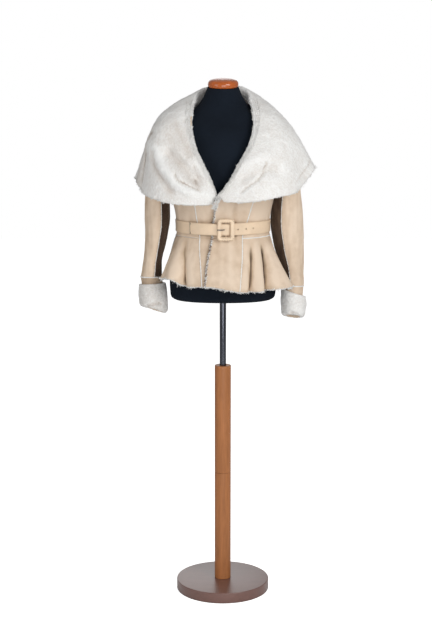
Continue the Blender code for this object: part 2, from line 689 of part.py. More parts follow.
def collar_section(stations, side, station, share):
    """A point in the collar's thickness: share 0 is the neck seam, 1 the outer edge."""
    row = along(stations, station)
    neck = sewn_edge(stations, side, station, WALL / 2)
    angle = neck_angle(stations, station)
    z = min(row.neck_z, NECK_SEAM_Z)
    middle = bodice_point(side * angle, z, WALL / 2)
    inward = bodice_point(side * (angle - 2.0), z, WALL / 2) - middle
    upward = bodice_point(side * angle, z + 0.004, WALL / 2) - middle
    away = bodice_point(side * angle, z, WALL) - middle
    rise = ease_in(station, NECK_POINT_STATION - 0.8, NECK_POINT_STATION)
    lean = 0.35 * (1 + rise)
    toward = unit(unit(inward) * (1 - rise) + unit(upward) * rise + unit(away) * lean)
    mirror = np.array([side, 1.0, 1.0])
    roll = np.array([row.roll_x, row.roll_y, row.roll_z]) * mirror
    over = np.array([row.over_x, row.over_y, row.over_z]) * mirror
    edge = np.array([row.edge_x, row.edge_y, row.edge_z]) * mirror
    start = neck + toward * COLLAR_WALL * (0.3 + 0.5 * ease_in(station, 0.0, 1.0))
    return spline([neck, start, roll, over, edge], [0.0, 0.05, ROLL_SHARE, OVER_SHARE, 1.0], share)


def spline(points, keys, at):
    """A smooth curve through a few points at given keys."""
    i = min(max(int(np.searchsorted(keys, at, side="right")) - 1, 0), len(keys) - 2)

    def slope(k):
        low, high = max(k - 1, 0), min(k + 1, len(keys) - 1)
        return (points[high] - points[low]) / (keys[high] - keys[low])

    span = keys[i + 1] - keys[i]
    t = (at - keys[i]) / span
    return (
        (2 * t**3 - 3 * t**2 + 1) * points[i]
        + (t**3 - 2 * t**2 + t) * span * slope(i)
        + (3 * t**2 - 2 * t**3) * points[i + 1]
        + (t**3 - t**2) * span * slope(i + 1)
    )


def collar_stations(stations):
    """Station numbers that meet the panels' own rows and columns along the neck seam."""
    heights = [V_POINT_Z, 1.275, 1.300] + UPPER_LEVELS[:-1]
    front = [neck_station(stations, z) for z in heights]
    start = neck_angle(stations, NECK_POINT_STATION)
    steps = BACK_COLUMNS // 2
    back = [start] + [SIDE_ANGLE + (180 - SIDE_ANGLE) * k / steps for k in range(1, steps + 1)]
    share = (len(stations) - 1 - NECK_POINT_STATION) / (180 - start)
    return front + [NECK_POINT_STATION + (angle - start) * share for angle in back]


def grid_normals(grid, side):
    out = np.cross(np.gradient(grid, axis=0), np.gradient(grid, axis=1)) * -side
    return out / np.linalg.norm(out, axis=2, keepdims=True)


def folded(grid, stations, side, creases):
    """The collar's middle surface pushed out or in along its creases."""
    height = np.zeros(grid.shape[:2])
    for crease in creases:
        path = []
        for t in np.linspace(0, 1, 13):
            station = crease.station + (crease.end_station - crease.station) * t
            share = crease.share + (crease.end_share - crease.share) * t
            path.append(collar_section(stations, side, station, share))
        gaps = np.linalg.norm(grid[:, :, None, :] - np.array(path), axis=3)
        height += crease.height * np.exp(-((gaps.min(axis=2) / crease.width) ** 2))
    return grid + grid_normals(grid, side) * height[:, :, None]


def build_collar(name, stations, side, creases, wool):
    """Half of the collar, from the front point to the centre back seam."""
    numbers = collar_stations(stations)
    grid = np.array([[collar_section(stations, side, s, v) for v in COLLAR_SHARES] for s in numbers])
    grid = folded(grid, stations, side, creases)
    out = grid_normals(grid, side)
    woolly = grid + out * COLLAR_WALL / 2
    bare = grid - out * COLLAR_WALL / 2
    for k, station in enumerate(numbers):
        woolly[k, 0] = sewn_edge(stations, side, station, 0.0)
        bare[k, 0] = sewn_edge(stations, side, station, WALL)
    for face in (woolly, bare):
        face[-1, :, 0] = side * SEAM
    wall(name, woolly, bare, wool)


# ---------------------------------------------------------------- the sleeves
def sleeve_ring(rows, side, at, step):
    """A point of the sleeve at a row number; step 0 faces away from the body, then the front."""
    row = along(rows, at)
    turn = math.radians(step * 360.0 / RING_STEPS)
    outer = np.array([row.outer_x, 0, row.outer_z])
    inner = np.array([row.inner_x, 0, row.inner_z])
    depth = np.array([0, -row.half_depth, row.front_rise])
    point = (outer + inner) / 2 + (outer - inner) / 2 * math.cos(turn) + depth * math.sin(turn)
    point += np.array([0, row.mid_y, 0])
    return point * np.array([side, 1.0, 1.0])


def armhole_ring(side, step, shrink):
    """A point of the sleeve's top ring, which is sewn onto the armhole."""
    away, z = armhole(step, shrink)
    return bodice_point(side * (SIDE_ANGLE + away), z, WALL + 1.5 * CLEAR)


def off_sleeve(rows, side, at, step, offset):
    """A point off the sleeve's outline, measured along its own outward normal."""
    about = sleeve_ring(rows, side, at, step + 0.5) - sleeve_ring(rows, side, at, step - 0.5)
    ahead = sleeve_ring(rows, side, at + 0.2, step) - sleeve_ring(rows, side, at - 0.2, step)
    point = sleeve_ring(rows, side, at, step)
    out = unit(np.cross(about, ahead)) * side
    out[2] *= ease_in(point[2], WRIST_LEVEL_Z, WRIST_LEVEL_Z + 0.06)
    return point + unit(out) * offset


def tube_faces(rows, side, places, steps, depth, head=False):
    """Grids of a stretch of sleeve: a face at a depth under its outline, and the outline."""
    under, face = [], []
    if head:
        under.append([armhole_ring(side, s, WALL) for s in steps])
        face.append([armhole_ring(side, s, 0.0) for s in steps])
    for at in places:
        under.append([off_sleeve(rows, side, at, s, depth) for s in steps])
        face.append([off_sleeve(rows, side, at, s, 0.0) for s in steps])
    return under, face


def shaved(outer, inner, gap):
    """Both long edges of a stretch of sleeve moved in by half the seam's gap."""
    for grid in (outer, inner):
        for row in grid:
            row[0] = row[0] + unit(row[1] - row[0]) * gap
            row[-1] = row[-1] + unit(row[-2] - row[-1]) * gap


def build_sleeve(word, rows, wrist, reach, slant, side, suede, wool):
    """One sleeve: the upper and under pieces, the band below the wrist seam and the cuff."""
    places = [float(k) for k in range(len(rows))]
    pieces = [
        ("sleeve_upper_" + word, range(BACK_SEAM_STEP - RING_STEPS, FRONT_SEAM_STEP + 1)),
        ("sleeve_under_" + word, range(FRONT_SEAM_STEP, BACK_SEAM_STEP + 1)),
    ]
    for name, steps in pieces:
        inner, outer = tube_faces(rows, side, places, list(steps), -WALL, head=True)
        shaved(outer, inner, SEAM)
        wall(name, outer, inner, suede)
    around = list(range(RING_STEPS))
    low = len(wrist) - 1.0
    bands = [low * BAND_END * k / 3 for k in range(4)]
    inner, outer = tube_faces(wrist, side, bands, around, -WALL)
    wall("wrist_band_" + word, outer, inner, suede, closed=True)
    build_cuff("cuff_" + word, wrist, reach, slant, side, wool)


def build_cuff(name, wrist, reach, slant, side, wool):
    """The turned-back end of a sleeve: up over the band, and round under its lower end."""
    low = len(wrist) - 1.0
    end = low * BAND_END
    around = list(range(RING_STEPS))

    def ring(share, offset):
        points = []
        for s in around:
            outside = 0.5 + 0.5 * math.cos(2 * math.pi * s / RING_STEPS)
            top = low * (1 - reach + slant * outside)
            at = top + (end - top) * min(share, 1.0) + (low - end) * max(share - 1.0, 0.0)
            points.append(off_sleeve(wrist, side, at, s, offset))
        return points

    step = 0.03
    shape = [(0.0, CLEAR, 0.8 * CUFF_WALL), (0.4, CLEAR, 1.1 * CUFF_WALL),
             (1.0 + step, CLEAR, CUFF_WALL), (1.0 + 2 * step, -WALL, 0.95 * CUFF_WALL),
             (1.6, -WALL, 0.7 * CUFF_WALL), (2.0, -0.5 * WALL, 0.2 * CUFF_WALL)]
    outer = [ring(share, CLEAR + thick) for share, _, thick in shape]
    inner = [ring(share, offset) for share, offset, _ in shape]
    wall(name, outer, inner, wool, closed=True)


# ---------------------------------------------------------------- belt and buckle
def waist_face(angle):
    """How far the jacket's outer face stands out under the belt, laps included, as an offset."""
    near = wrap(angle)
    step = (WALL + 2 * CLEAR) * ease_in(near, -52.0, -14.0)
    return WALL + step * (1 - ease_in(near, UNDERLAP_ANGLE + 1.5, LAP_END_ANGLE))


def stand_off(angle):
    """The belt held away from the waist by the buckle's bar behind it."""
    return BAR_ROOM * (1 - ease_in(abs(wrap(angle) - BUCKLE_ANGLE), 8.0, 26.0))


def belt_layer(gone):
    """The belt's offset from the bodice, by the angle that it has gone round from the bar."""
    angle = BELT_START - gone
    first = waist_face(angle) + stand_off(angle) + CLEAR
    return first + (BELT_THICKNESS + CLEAR) * ease_in(gone, 316.0, 340.0)


def build_belt(leather):
    """One strap, from the buckle's bar round the back and over its own start to the tip."""
    total = 360.0 + BELT_START - TIP_ANGLE
    stops = 56
    outer, inner = [], []
    for k in range(stops + 1):
        gone = total * k / stops
        angle = BELT_START - gone
        near_tip = min((total - gone) / TIP_ROUND, 1.0)
        half = BELT_HEIGHT / 2 * (0.72 + 0.28 * math.sqrt(near_tip))
        offset = belt_layer(gone)
        heights = [BELT_Z - half, BELT_Z + half]
        outer.append([bodice_point(angle, z, offset + BELT_THICKNESS) for z in heights])
        inner.append([bodice_point(angle, z, offset) for z in heights])
    belt = wall("belt", outer, inner, leather)
    for hole in BELT_HOLES:
        cut(belt, hole_cutter(hole, leather))
    belt.data.shade_smooth()
    belt.data.set_sharp_from_angle(angle=math.radians(35))


def hole_cutter(angle, material):
    """A round punch through the strap at an angle round the waist."""
    at = bodice_point(angle, BELT_Z, WALL)
    out = unit(bodice_point(angle, BELT_Z, 0.04) - at)
    cutter = turned("hole_cutter", [(0, 0), (HOLE_RADIUS, 0), (HOLE_RADIUS, 0.04), (0, 0.04)],
                    material, 8)
    cutter.location = [float(c) for c in at]
    cutter.rotation_euler = (math.radians(90), 0, math.atan2(out[1], out[0]) + math.radians(90))
    bpy.context.view_layer.update()
    return cutter


def rounded_ring(width, height, bar, corner, thickness):
    """Grids of a rounded rectangular frame lying in XZ, its back at y = 0."""
    outline, hole = [], []
    for side_x, side_z, start in ((1, 1, 0), (-1, 1, 90), (-1, -1, 180), (1, -1, 270)):
        for k in range(5):
            turn = math.radians(start + 90 * k / 4)
            for points, inset, radius in ((outline, 0, corner), (hole, bar, corner * 0.4)):
                x = side_x * (width / 2 - inset - radius) + radius * math.cos(turn)
                z = side_z * (height / 2 - inset - radius) + radius * math.sin(turn)
                points.append((x, z))
    soft = 0.25 * thickness
    rows = []
    for blend, y in ((0.0, -soft), (0.0, -thickness + soft), (0.12, -thickness), (0.88, -thickness),
                     (1.0, -thickness + soft), (1.0, -soft), (0.88, 0.0), (0.12, 0.0)):
        rows.append([
            (o[0] + (h[0] - o[0]) * blend, y, o[1] + (h[1] - o[1]) * blend)
            for o, h in zip(outline, hole)
        ])
    return rows


def build_buckle(leather, steel):
    """A covered frame over the strap, with a bar behind the strap that joins it above and below."""
    rows = rounded_ring(BUCKLE_WIDTH, BUCKLE_HEIGHT, BUCKLE_BAR, 0.009, BUCKLE_THICKNESS)
    steps = len(rows[0])
    points = [p for row in rows for p in row]
    faces = []
    for i in range(len(rows)):
        for k in range(steps):
            low, high = i * steps, (i + 1) % len(rows) * steps
            faces.append([low + k, low + (k + 1) % steps, high + (k + 1) % steps, high + k])
    frame = from_faces("buckle_frame", points, faces, leather)
    top_layer = WALL + 2 * CLEAR + WALL + BAR_ROOM + CLEAR + BELT_THICKNESS + CLEAR
    strap_face = top_layer + BELT_THICKNESS
    front = -float(bodice_point(BUCKLE_ANGLE, BELT_TOP_Z, strap_face)[1]) + CLEAR
    highest = BUCKLE_Z + BUCKLE_HEIGHT / 2
    lowest = BUCKLE_Z - BUCKLE_HEIGHT / 2
    lapped = 2 * WALL + 2 * CLEAR
    back = CLEAR - min(float(jacket_point(BUCKLE_ANGLE, z, lapped)[1]) for z in (lowest, highest))
    frame.location = (BUCKLE_X, -front, BUCKLE_Z)
    bpy.context.view_layer.update()
    across = (BUCKLE_X - BAR_WIDTH / 2, BUCKLE_X + BAR_WIDTH / 2)
    ends = (lowest + BAR_INSET, highest - BAR_INSET)
    bar = box("bar", across, (-back - 0.0022, -back), ends, leather)
    strap_ends = (BELT_BOTTOM_Z - CLEAR, BELT_TOP_Z + CLEAR)
    for low, high in ((strap_ends[1], ends[1]), (ends[0], strap_ends[0])):
        combine(bar, box("post", across, (-front - 0.002, -back - 0.001), (low, high), leather), "UNION")
    combine(frame, bar, "UNION")
    frame.data.shade_smooth()
    frame.data.set_sharp_from_angle(angle=math.radians(35))
    build_prong(front - CLEAR + 0.0004, front + BUCKLE_THICKNESS + 0.0004, steel)


def build_prong(low, high, steel):
    """The prong's free length: out of the strap beside the bar, over the frame's left side."""
    half, thick = 0.0013, 0.0016
    left = BUCKLE_X - BUCKLE_WIDTH / 2
    path = [(BUCKLE_X - 0.003, low), (left + BUCKLE_BAR + 0.006, low + 0.0008),
            (left + BUCKLE_BAR + 0.001, high), (left + 0.001, high), (left - 0.001, high - 0.001)]
    outer = [[(x, -y - thick, BUCKLE_Z + s * half) for s in (-1, 1)] for x, y in path]
    inner = [[(x, -y, BUCKLE_Z + s * half) for s in (-1, 1)] for x, y in path]
    wall("buckle_prong", outer, inner, steel)


def box(name, xs, ys, zs, material):
    points = [(x, y, z) for x in xs for y in ys for z in zs]
    faces = [(0, 1, 3, 2), (4, 6, 7, 5), (0, 4, 5, 1), (2, 3, 7, 6), (0, 2, 6, 4), (1, 5, 7, 3)]
    return from_faces(name, points, [list(f) for f in faces], material)


def main():
    for thing in list(bpy.data.objects):
        bpy.data.objects.remove(thing)
    suede = finish("suede", (0.62, 0.49, 0.36), 0.9)
    wool = finish("wool", (0.80, 0.78, 0.74), 1.0)
    strap = finish("belt_leather", (0.72, 0.56, 0.40), 0.55)
    steel = finish("steel", (0.35, 0.36, 0.39), 0.3, 1.0)
    jersey = finish("jersey", (0.008, 0.012, 0.020), 0.85)
    wood = finish("wood", (0.42, 0.20, 0.09), 0.45)
    walnut = finish("walnut", (0.20, 0.10, 0.075), 0.35)
    cap_wood = finish("cap_wood", (0.50, 0.16, 0.045), 0.2)
    build_stand(wood, walnut, steel)
    build_form(jersey, cap_wood)
    build_fronts(suede)
    build_sides(suede)
    build_back(suede)
    build_peplum(suede)
    build_collar("collar_left", COLLAR_LEFT, 1, CREASES_LEFT, wool)
    build_collar("collar_right", COLLAR_RIGHT, -1, CREASES_RIGHT, wool)
    build_sleeve("left", SLEEVE_LEFT, WRIST_LEFT, CUFF_REACH_LEFT, CUFF_SLANT_LEFT, 1, suede, wool)
    build_sleeve("right", SLEEVE_RIGHT, WRIST_RIGHT, CUFF_REACH_RIGHT, CUFF_SLANT_RIGHT, -1,
                 suede, wool)
    build_belt(strap)
    build_buckle(strap, steel)


main()
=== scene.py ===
"""The looks of a belted shearling jacket on a dress form, laid out as a Blender add-on.

Metres, +Z up, -Y to the front, +X to the wearer's left. Every piece of lambskin is a shell with a
suede face, a woolly face and a raw woolly edge, worked out from the same form as the solids.
"""

import math
import bpy  # noqa: E402
import numpy as np  # noqa: E402
from bpy.props import FloatProperty, FloatVectorProperty, PointerProperty  # noqa: E402
from bpy.types import Operator, Panel, PropertyGroup  # noqa: E402
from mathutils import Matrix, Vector, noise  # noqa: E402


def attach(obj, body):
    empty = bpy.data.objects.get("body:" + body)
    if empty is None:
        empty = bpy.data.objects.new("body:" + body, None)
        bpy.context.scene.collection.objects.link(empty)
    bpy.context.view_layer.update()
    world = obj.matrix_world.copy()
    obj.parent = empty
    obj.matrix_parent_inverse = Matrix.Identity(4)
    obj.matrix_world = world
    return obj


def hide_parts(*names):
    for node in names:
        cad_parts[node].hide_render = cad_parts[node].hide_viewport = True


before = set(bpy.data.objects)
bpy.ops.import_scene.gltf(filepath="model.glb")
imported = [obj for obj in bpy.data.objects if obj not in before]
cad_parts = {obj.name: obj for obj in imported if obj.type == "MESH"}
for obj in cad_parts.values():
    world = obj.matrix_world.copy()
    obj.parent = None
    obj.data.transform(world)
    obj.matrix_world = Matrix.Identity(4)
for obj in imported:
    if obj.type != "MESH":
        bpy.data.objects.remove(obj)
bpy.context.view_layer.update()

bl_info = {
    "name": "Belted shearling jacket",
    "version": (1, 0, 0),
    "blender": (4, 5, 0),
    "location": "3D View > Sidebar > Jacket",
    "description": "Builds a belted shearling jacket on a dress form, with its studio",
    "category": "Object",
}


STAND, POST, TORSO = "stand", "post", "torso"

# ---------------------------------------------------------------- sizes shared with the solids
BASE_RADIUS = 0.145
BASE_THICKNESS = 0.033
POLE_RADIUS = 0.0252
POLE_JOINT_Z = 0.380
POLE_TOP_Z = 0.722
ROD_RADIUS = 0.010
ROD_BOTTOM_Z = 0.500
ROD_TOP_Z = 0.980
FORM_BOTTOM_Z = 0.932
NECK_TOP_Z = 1.572
NECK_TILT = math.radians(7)
CAP_RADIUS = 0.0458
CAP_HEIGHT = 0.0245
WALL = 0.006
COLLAR_WALL = 0.007
SEAM = 0.0003
CLEAR = 0.0008
WAIST_SEAM_Z = 1.1275
HEM_Z = 0.985
V_POINT_Z = 1.252
NECK_SEAM_Z = 1.5115
ARMHOLE_Z = 1.385
ARMHOLE_RISE = 0.062
ARMHOLE_SPREAD = 29.0
SIDE_ANGLE = 90.0
UNDERLAP_ANGLE = 4.0
LAP_END_ANGLE = 16.0
PRINCESS_TOP = ARMHOLE_Z - (ARMHOLE_RISE - WALL) * math.cos(math.radians(67.5))
NECK_POINT_STATION = 7
ROLL_SHARE = 0.2
OVER_SHARE = 0.62
RING_STEPS = 16
FRONT_SEAM_STEP = 5
BACK_SEAM_STEP = 11
WRIST_LEVEL_Z = 1.0
BELT_Z = 1.159
BELT_HEIGHT = 0.041
BELT_THICKNESS = 0.003
BELT_START = 2.0
TIP_ANGLE = -42.0
TIP_ROUND = 5.0
BELT_HOLES = (17.0, 28.0, 39.0)
HOLE_RADIUS = 0.0021
BUCKLE_X = 0.008
BUCKLE_Z = 1.1575
BUCKLE_WIDTH = 0.050
BUCKLE_HEIGHT = 0.066
BUCKLE_BAR = 0.0115
BUCKLE_THICKNESS = 0.0045
BUCKLE_ANGLE = 3.5
BAR_ROOM = 0.0040
BAR_WIDTH = 0.004
BAR_INSET = 0.006
CUFF_WALL = 0.0085
BAND_END = 0.90
BELT_LENGTH_ANGLE = 360.0 + BELT_START - TIP_ANGLE

# ---------------------------------------------------------------- sizes of the surface and its painted shade and light
# A side is 1 for the wearer's left and -1 for the right.
CURL_SEED = 7
FLEECE_SINK = 0.0025
BODY_FOLDS = 0.0009
SLEEVE_FOLDS = 0.0016
INNER_CURLS = 0.0012
SLEEVE_INNER_CURLS = 0.0010
BAND_INNER_CURLS = 0.0008
# Heights of the painted light over the bust and of the lap's painted shadow; angle and width of
# the painted shadow over the hip.
BUST_LIGHT_Z = (1.175, 1.200)
LAP_SHADOW_Z = (1.140, 1.180)
HIP_SHADOW = (50.0, 20.0)
# Painted shade under the arms, for each side.
UNDER_ARM_SHADE = {1: 0.50, -1: 0.85}
# Painted shade on each wrist band.
BAND_SHADE = {1: 0.08, -1: 0.45}
# Painted shade on each cuff's wool.
CUFF_SHADE = {1: 0.0, -1: 0.22}


def table(columns, rows):
    """A short table as one array for each named column."""
    return {name: np.array([row[k] for row in rows], float)
            for k, name in enumerate(columns.split())}


def hermite(t, span, start, end, first, last):
    """A cubic over a span between two values with given slopes, for t from 0 to 1."""
    return ((2 * t**3 - 3 * t**2 + 1) * start + (t**3 - 2 * t**2 + t) * span * first
            + (3 * t**2 - 2 * t**3) * end + (t**3 - t**2) * span * last)


# The dress form, ring by ring from its underside to its neck.
FORM = table("z half_width front back lean square", [
    (0.932, 0.1480, 0.0960, 0.1060, 0.000, 2.2),
    (0.937, 0.1570, 0.1030, 0.1130, 0.000, 2.2),
    (0.950, 0.1610, 0.1070, 0.1170, 0.000, 2.2),
    (1.000, 0.1620, 0.1080, 0.1190, 0.000, 2.2),
    (1.060, 0.1470, 0.1000, 0.1080, 0.000, 2.1),
    (1.110, 0.1280, 0.0910, 0.0880, 0.000, 2.1),
    (1.150, 0.1220, 0.0880, 0.0790, 0.000, 2.1),
    (1.200, 0.1270, 0.0950, 0.0840, 0.000, 2.1),
    (1.260, 0.1400, 0.1130, 0.0930, 0.000, 2.2),
    (1.310, 0.1490, 0.1240, 0.0990, 0.000, 2.2),
    (1.360, 0.1570, 0.1200, 0.1050, 0.000, 2.3),
    (1.410, 0.1690, 0.1050, 0.1080, 0.002, 2.3),
    (1.440, 0.1760, 0.0930, 0.1050, 0.004, 2.3),
    (1.462, 0.1680, 0.0830, 0.0980, 0.004, 2.2),
    (1.480, 0.1430, 0.0750, 0.0900, 0.003, 2.2),
    (1.496, 0.1120, 0.0680, 0.0800, 0.002, 2.1),
    (1.512, 0.0830, 0.0600, 0.0680, 0.000, 2.0),
    (1.530, 0.0670, 0.0545, 0.0560, -0.002, 2.0),
    (1.550, 0.0560, 0.0500, 0.0495, -0.005, 2.0),
    (1.572, 0.0465, 0.0460, 0.0460, -0.008, 2.0),
])

# How far the bodice's inner face stands off the form.
EASE = table("z ease", [
    (1.110, 0.0130), (1.155, 0.0120), (1.260, 0.0120), (1.330, 0.0070),
    (1.400, 0.0050), (1.440, 0.0048), (1.470, 0.0042), (1.530, 0.0032),
])

# The peplum: how far its hem stands out from the waist seam, and how far it drops.
FLARE = table("angle reach drop", [
    (-180, 0.078, 0.004), (-130, 0.062, 0.004), (-105, 0.044, -0.008), (-85, 0.039, -0.013),
    (-62, 0.072, -0.019), (-44, 0.069, -0.024), (-38, 0.067, -0.006), (-10, 0.058, -0.005),
    (15, 0.065, 0.010), (38, 0.074, 0.008), (62, 0.083, 0.003), (85, 0.040, 0.000),
    (105, 0.044, 0.002), (130, 0.062, 0.004), (180, 0.078, 0.004),
])

# Flutes of the peplum: a positive depth is a ridge that stands out, a negative one a trough.
FOLDS = [
    # waist angle, hem angle, depth, width
    (34, 23, -0.024, 5.0), (41, 30, 0.010, 4.5), (49, 38, -0.030, 5.0), (62, 58, 0.010, 8.0),
    (-50, -35, -0.024, 5.0), (-58, -45, 0.012, 5.0), (-70, -68, -0.016, 5.0),
    (122, 120, 0.012, 7.0), (138, 136, -0.022, 7.0), (152, 154, 0.020, 9.0),
    (176, 178, -0.022, 8.0), (-158, -156, 0.020, 9.0), (-140, -138, -0.024, 7.0),
    (-122, -121, 0.012, 7.0),
]

# The seams, as angles round the body at each height.
SEAMS = table("z opening left_princess right_princess", [
    (0.970, -14.0, 11.5, -16.0), (1.050, -14.5, 17.0, -21.5), (1.130, -12.5, 24.0, -29.5),
    (1.190, -10.5, 31.5, -33.5), (1.250, -7.0, 35.5, -34.0), (1.310, -6.5, 46.0, -45.0),
    (1.370, -6.0, 61.0, -61.0),
])

COLLAR_COLUMNS = "neck_z neck_x roll_x roll_y roll_z over_x over_y over_z edge_x edge_y edge_z"
COLLAR_LEFT = table(COLLAR_COLUMNS, [
    (1.2535, -0.011, -0.014, -0.158, 1.262, -0.003, -0.169, 1.254, 0.003, -0.170, 1.245),
    (1.280, 0.020, 0.009, -0.158, 1.286, 0.034, -0.173, 1.268, 0.056, -0.176, 1.244),
    (1.333, 0.053, 0.041, -0.158, 1.338, 0.080, -0.175, 1.299, 0.112, -0.180, 1.250),
    (1.380, 0.081, 0.068, -0.147, 1.384, 0.121, -0.166, 1.339, 0.166, -0.166, 1.260),
    (1.420, 0.099, 0.086, -0.126, 1.425, 0.156, -0.141, 1.380, 0.210, -0.134, 1.268),
    (1.456, 0.107, 0.095, -0.094, 1.464, 0.184, -0.100, 1.426, 0.233, -0.090, 1.286),
    (1.486, 0.101, 0.093, -0.056, 1.504, 0.196, -0.048, 1.452, 0.273, -0.026, 1.330),
    (1.5115, 0.091, 0.085, -0.016, 1.533, 0.191, 0.012, 1.468, 0.266, 0.046, 1.334),
    (1.5115, 0.000, 0.078, 0.024, 1.552, 0.164, 0.064, 1.474, 0.228, 0.112, 1.330),
    (1.5115, 0.000, 0.052, 0.058, 1.567, 0.098, 0.108, 1.492, 0.134, 0.158, 1.318),
    (1.5115, 0.000, 0.000, 0.074, 1.570, 0.000, 0.128, 1.484, 0.000, 0.178, 1.306),
])
COLLAR_RIGHT = table(COLLAR_COLUMNS, [
    (1.2535, 0.028, 0.023, -0.153, 1.264, 0.028, -0.163, 1.252, 0.030, -0.164, 1.238),
    (1.280, 0.040, 0.029, -0.156, 1.286, 0.050, -0.173, 1.262, 0.068, -0.176, 1.236),
    (1.333, 0.064, 0.054, -0.156, 1.336, 0.086, -0.176, 1.293, 0.114, -0.182, 1.238),
    (1.380, 0.086, 0.076, -0.144, 1.384, 0.124, -0.168, 1.334, 0.160, -0.172, 1.242),
    (1.420, 0.101, 0.089, -0.123, 1.425, 0.156, -0.144, 1.378, 0.204, -0.146, 1.253),
    (1.456, 0.108, 0.096, -0.094, 1.464, 0.192, -0.106, 1.433, 0.235, -0.100, 1.264),
    (1.486, 0.101, 0.095, -0.056, 1.504, 0.197, -0.052, 1.466, 0.257, -0.030, 1.296),
    (1.5115, 0.091, 0.090, -0.016, 1.533, 0.195, 0.004, 1.478, 0.266, 0.034, 1.300),
    (1.5115, 0.000, 0.081, 0.024, 1.552, 0.166, 0.062, 1.490, 0.236, 0.104, 1.312),
    (1.5115, 0.000, 0.052, 0.058, 1.567, 0.098, 0.108, 1.492, 0.134, 0.158, 1.314),
    (1.5115, 0.000, 0.000, 0.074, 1.570, 0.000, 0.128, 1.484, 0.000, 0.178, 1.306),
])

# Folds of the collar, each from one place on it to another. A negative height is a trough.
CREASES_LEFT = [
    # station, share, end station, end share, height, width
    (6.0, 0.40, 9.0, 0.40, 0.009, 0.045),
    (3.5, 0.72, 2.0, 0.44, -0.011, 0.018),
    (3.6, 0.50, 2.2, 0.30, 0.005, 0.020),
    (5.6, 0.24, 1.6, 0.22, -0.0025, 0.005),
]
CREASES_RIGHT = [
    (4.1, 0.62, 1.9, 0.46, -0.015, 0.018),
    (5.4, 0.74, 1.9, 0.76, 0.007, 0.022),
    (5.4, 0.27, 3.4, 0.30, -0.005, 0.018),
    (5.7, 0.66, 5.7, 1.00, 0.005, 0.018),
    (6.5, 0.66, 6.5, 1.00, -0.006, 0.018),
]

# Sharp lines of the fleece, and soft painted shade and highlights, through some places on the
# collar.
LINES_LEFT = [
    # places (station, share), push outwards, push width, painted shade (below 0 a painted
    # highlight), shade width
    (((3.3, 0.59), (2.76, 0.63), (2.34, 0.66), (1.82, 0.64), (1.26, 0.67)),
     -0.005, 0.0055, 0.30, 0.0040),
    (((2.9, 0.52), (2.2, 0.55), (1.6, 0.57)), 0.002, 0.010, 0.16, 0.012),
    (((4.0, 0.66), (3.2, 0.64), (2.5, 0.72)), 0.0, 0.010, 0.14, 0.014),
    (((6.3, 0.86), (6.0, 0.93), (5.3, 0.94), (4.6, 0.94)), -0.0015, 0.004, 0.30, 0.0030),
]
LINES_RIGHT = [
    (((3.2, 0.72), (2.94, 0.74), (2.54, 0.72), (1.86, 0.68), (1.54, 0.63)),
     -0.005, 0.0055, 0.34, 0.0040),
    (((2.6, 0.40), (2.22, 0.42), (1.95, 0.50), (1.75, 0.57)), -0.003, 0.009, 0.24, 0.009),
    (((5.2, 0.39), (4.7, 0.38), (4.2, 0.36), (3.7, 0.35), (3.2, 0.38)),
     -0.002, 0.010, 0.30, 0.013),
    (((4.8, 0.50), (3.9, 0.50), (3.3, 0.58), (2.6, 0.60), (2.1, 0.57)), 0.0, 0.02, 0.36, 0.030),
    (((4.7, 0.70), (4.38, 0.73), (3.94, 0.75), (3.38, 0.76), (2.84, 0.78), (2.2, 0.77),
      (1.62, 0.71), (0.78, 0.55)), 0.002, 0.012, -0.22, 0.012),
    (((4.8, 0.74), (4.46, 0.80), (3.94, 0.82), (3.42, 0.85), (3.04, 0.89)),
     -0.003, 0.010, 0.34, 0.015),
    (((5.60, 0.68), (5.50, 0.80), (5.36, 0.98)), -0.002, 0.005, 0.28, 0.0070),
    (((5.95, 0.72), (5.85, 1.0)), 0.0, 0.02, 0.62, 0.032),
]

SLEEVE_COLUMNS = "outer_x outer_z inner_x inner_z mid_y half_depth front_rise"
SLEEVE_LEFT = table(SLEEVE_COLUMNS, [
    (0.2025, 1.4365, 0.1800, 1.3220, 0.002, 0.064, 0.000),
    (0.2200, 1.4000, 0.1760, 1.3080, 0.004, 0.066, 0.000),
    (0.2300, 1.3400, 0.1640, 1.2850, 0.010, 0.066, 0.000),
    (0.2360, 1.2600, 0.1530, 1.2400, 0.022, 0.064, 0.000),
    (0.2460, 1.1700, 0.1455, 1.1600, 0.036, 0.060, 0.000),
    (0.2490, 1.0900, 0.1590, 1.0850, 0.040, 0.055, 0.000),
    (0.2480, 1.0250, 0.1780, 1.0250, 0.028, 0.050, 0.002),
    (0.2480, 0.9700, 0.1880, 0.9720, 0.010, 0.046, 0.004),
])
SLEEVE_RIGHT = table(SLEEVE_COLUMNS, [
    (0.2025, 1.4365, 0.1800, 1.3220, 0.002, 0.064, 0.000),
    (0.2190, 1.4000, 0.1780, 1.3080, 0.004, 0.066, 0.000),
    (0.2300, 1.3400, 0.1700, 1.2850, 0.006, 0.066, 0.000),
    (0.2360, 1.2600, 0.1630, 1.2400, 0.008, 0.064, 0.000),
    (0.2380, 1.1800, 0.1620, 1.1700, 0.010, 0.060, 0.000),
    (0.2380, 1.1100, 0.1735, 1.1050, 0.012, 0.055, 0.000),
    (0.2430, 1.0500, 0.1860, 1.0500, 0.012, 0.051, 0.002),
    (0.2520, 0.9980, 0.1880, 0.9980, 0.010, 0.048, 0.004),
])
WRIST_LEFT = table(SLEEVE_COLUMNS, [
    (0.2480, 0.9690, 0.1880, 0.9710, 0.010, 0.0460, 0.004),
    (0.2450, 0.9380, 0.1890, 0.9420, 0.007, 0.0440, 0.006),
    (0.2440, 0.9060, 0.1900, 0.9110, 0.003, 0.0430, 0.009),
    (0.2410, 0.8740, 0.1920, 0.8800, -0.002, 0.0420, 0.012),
])
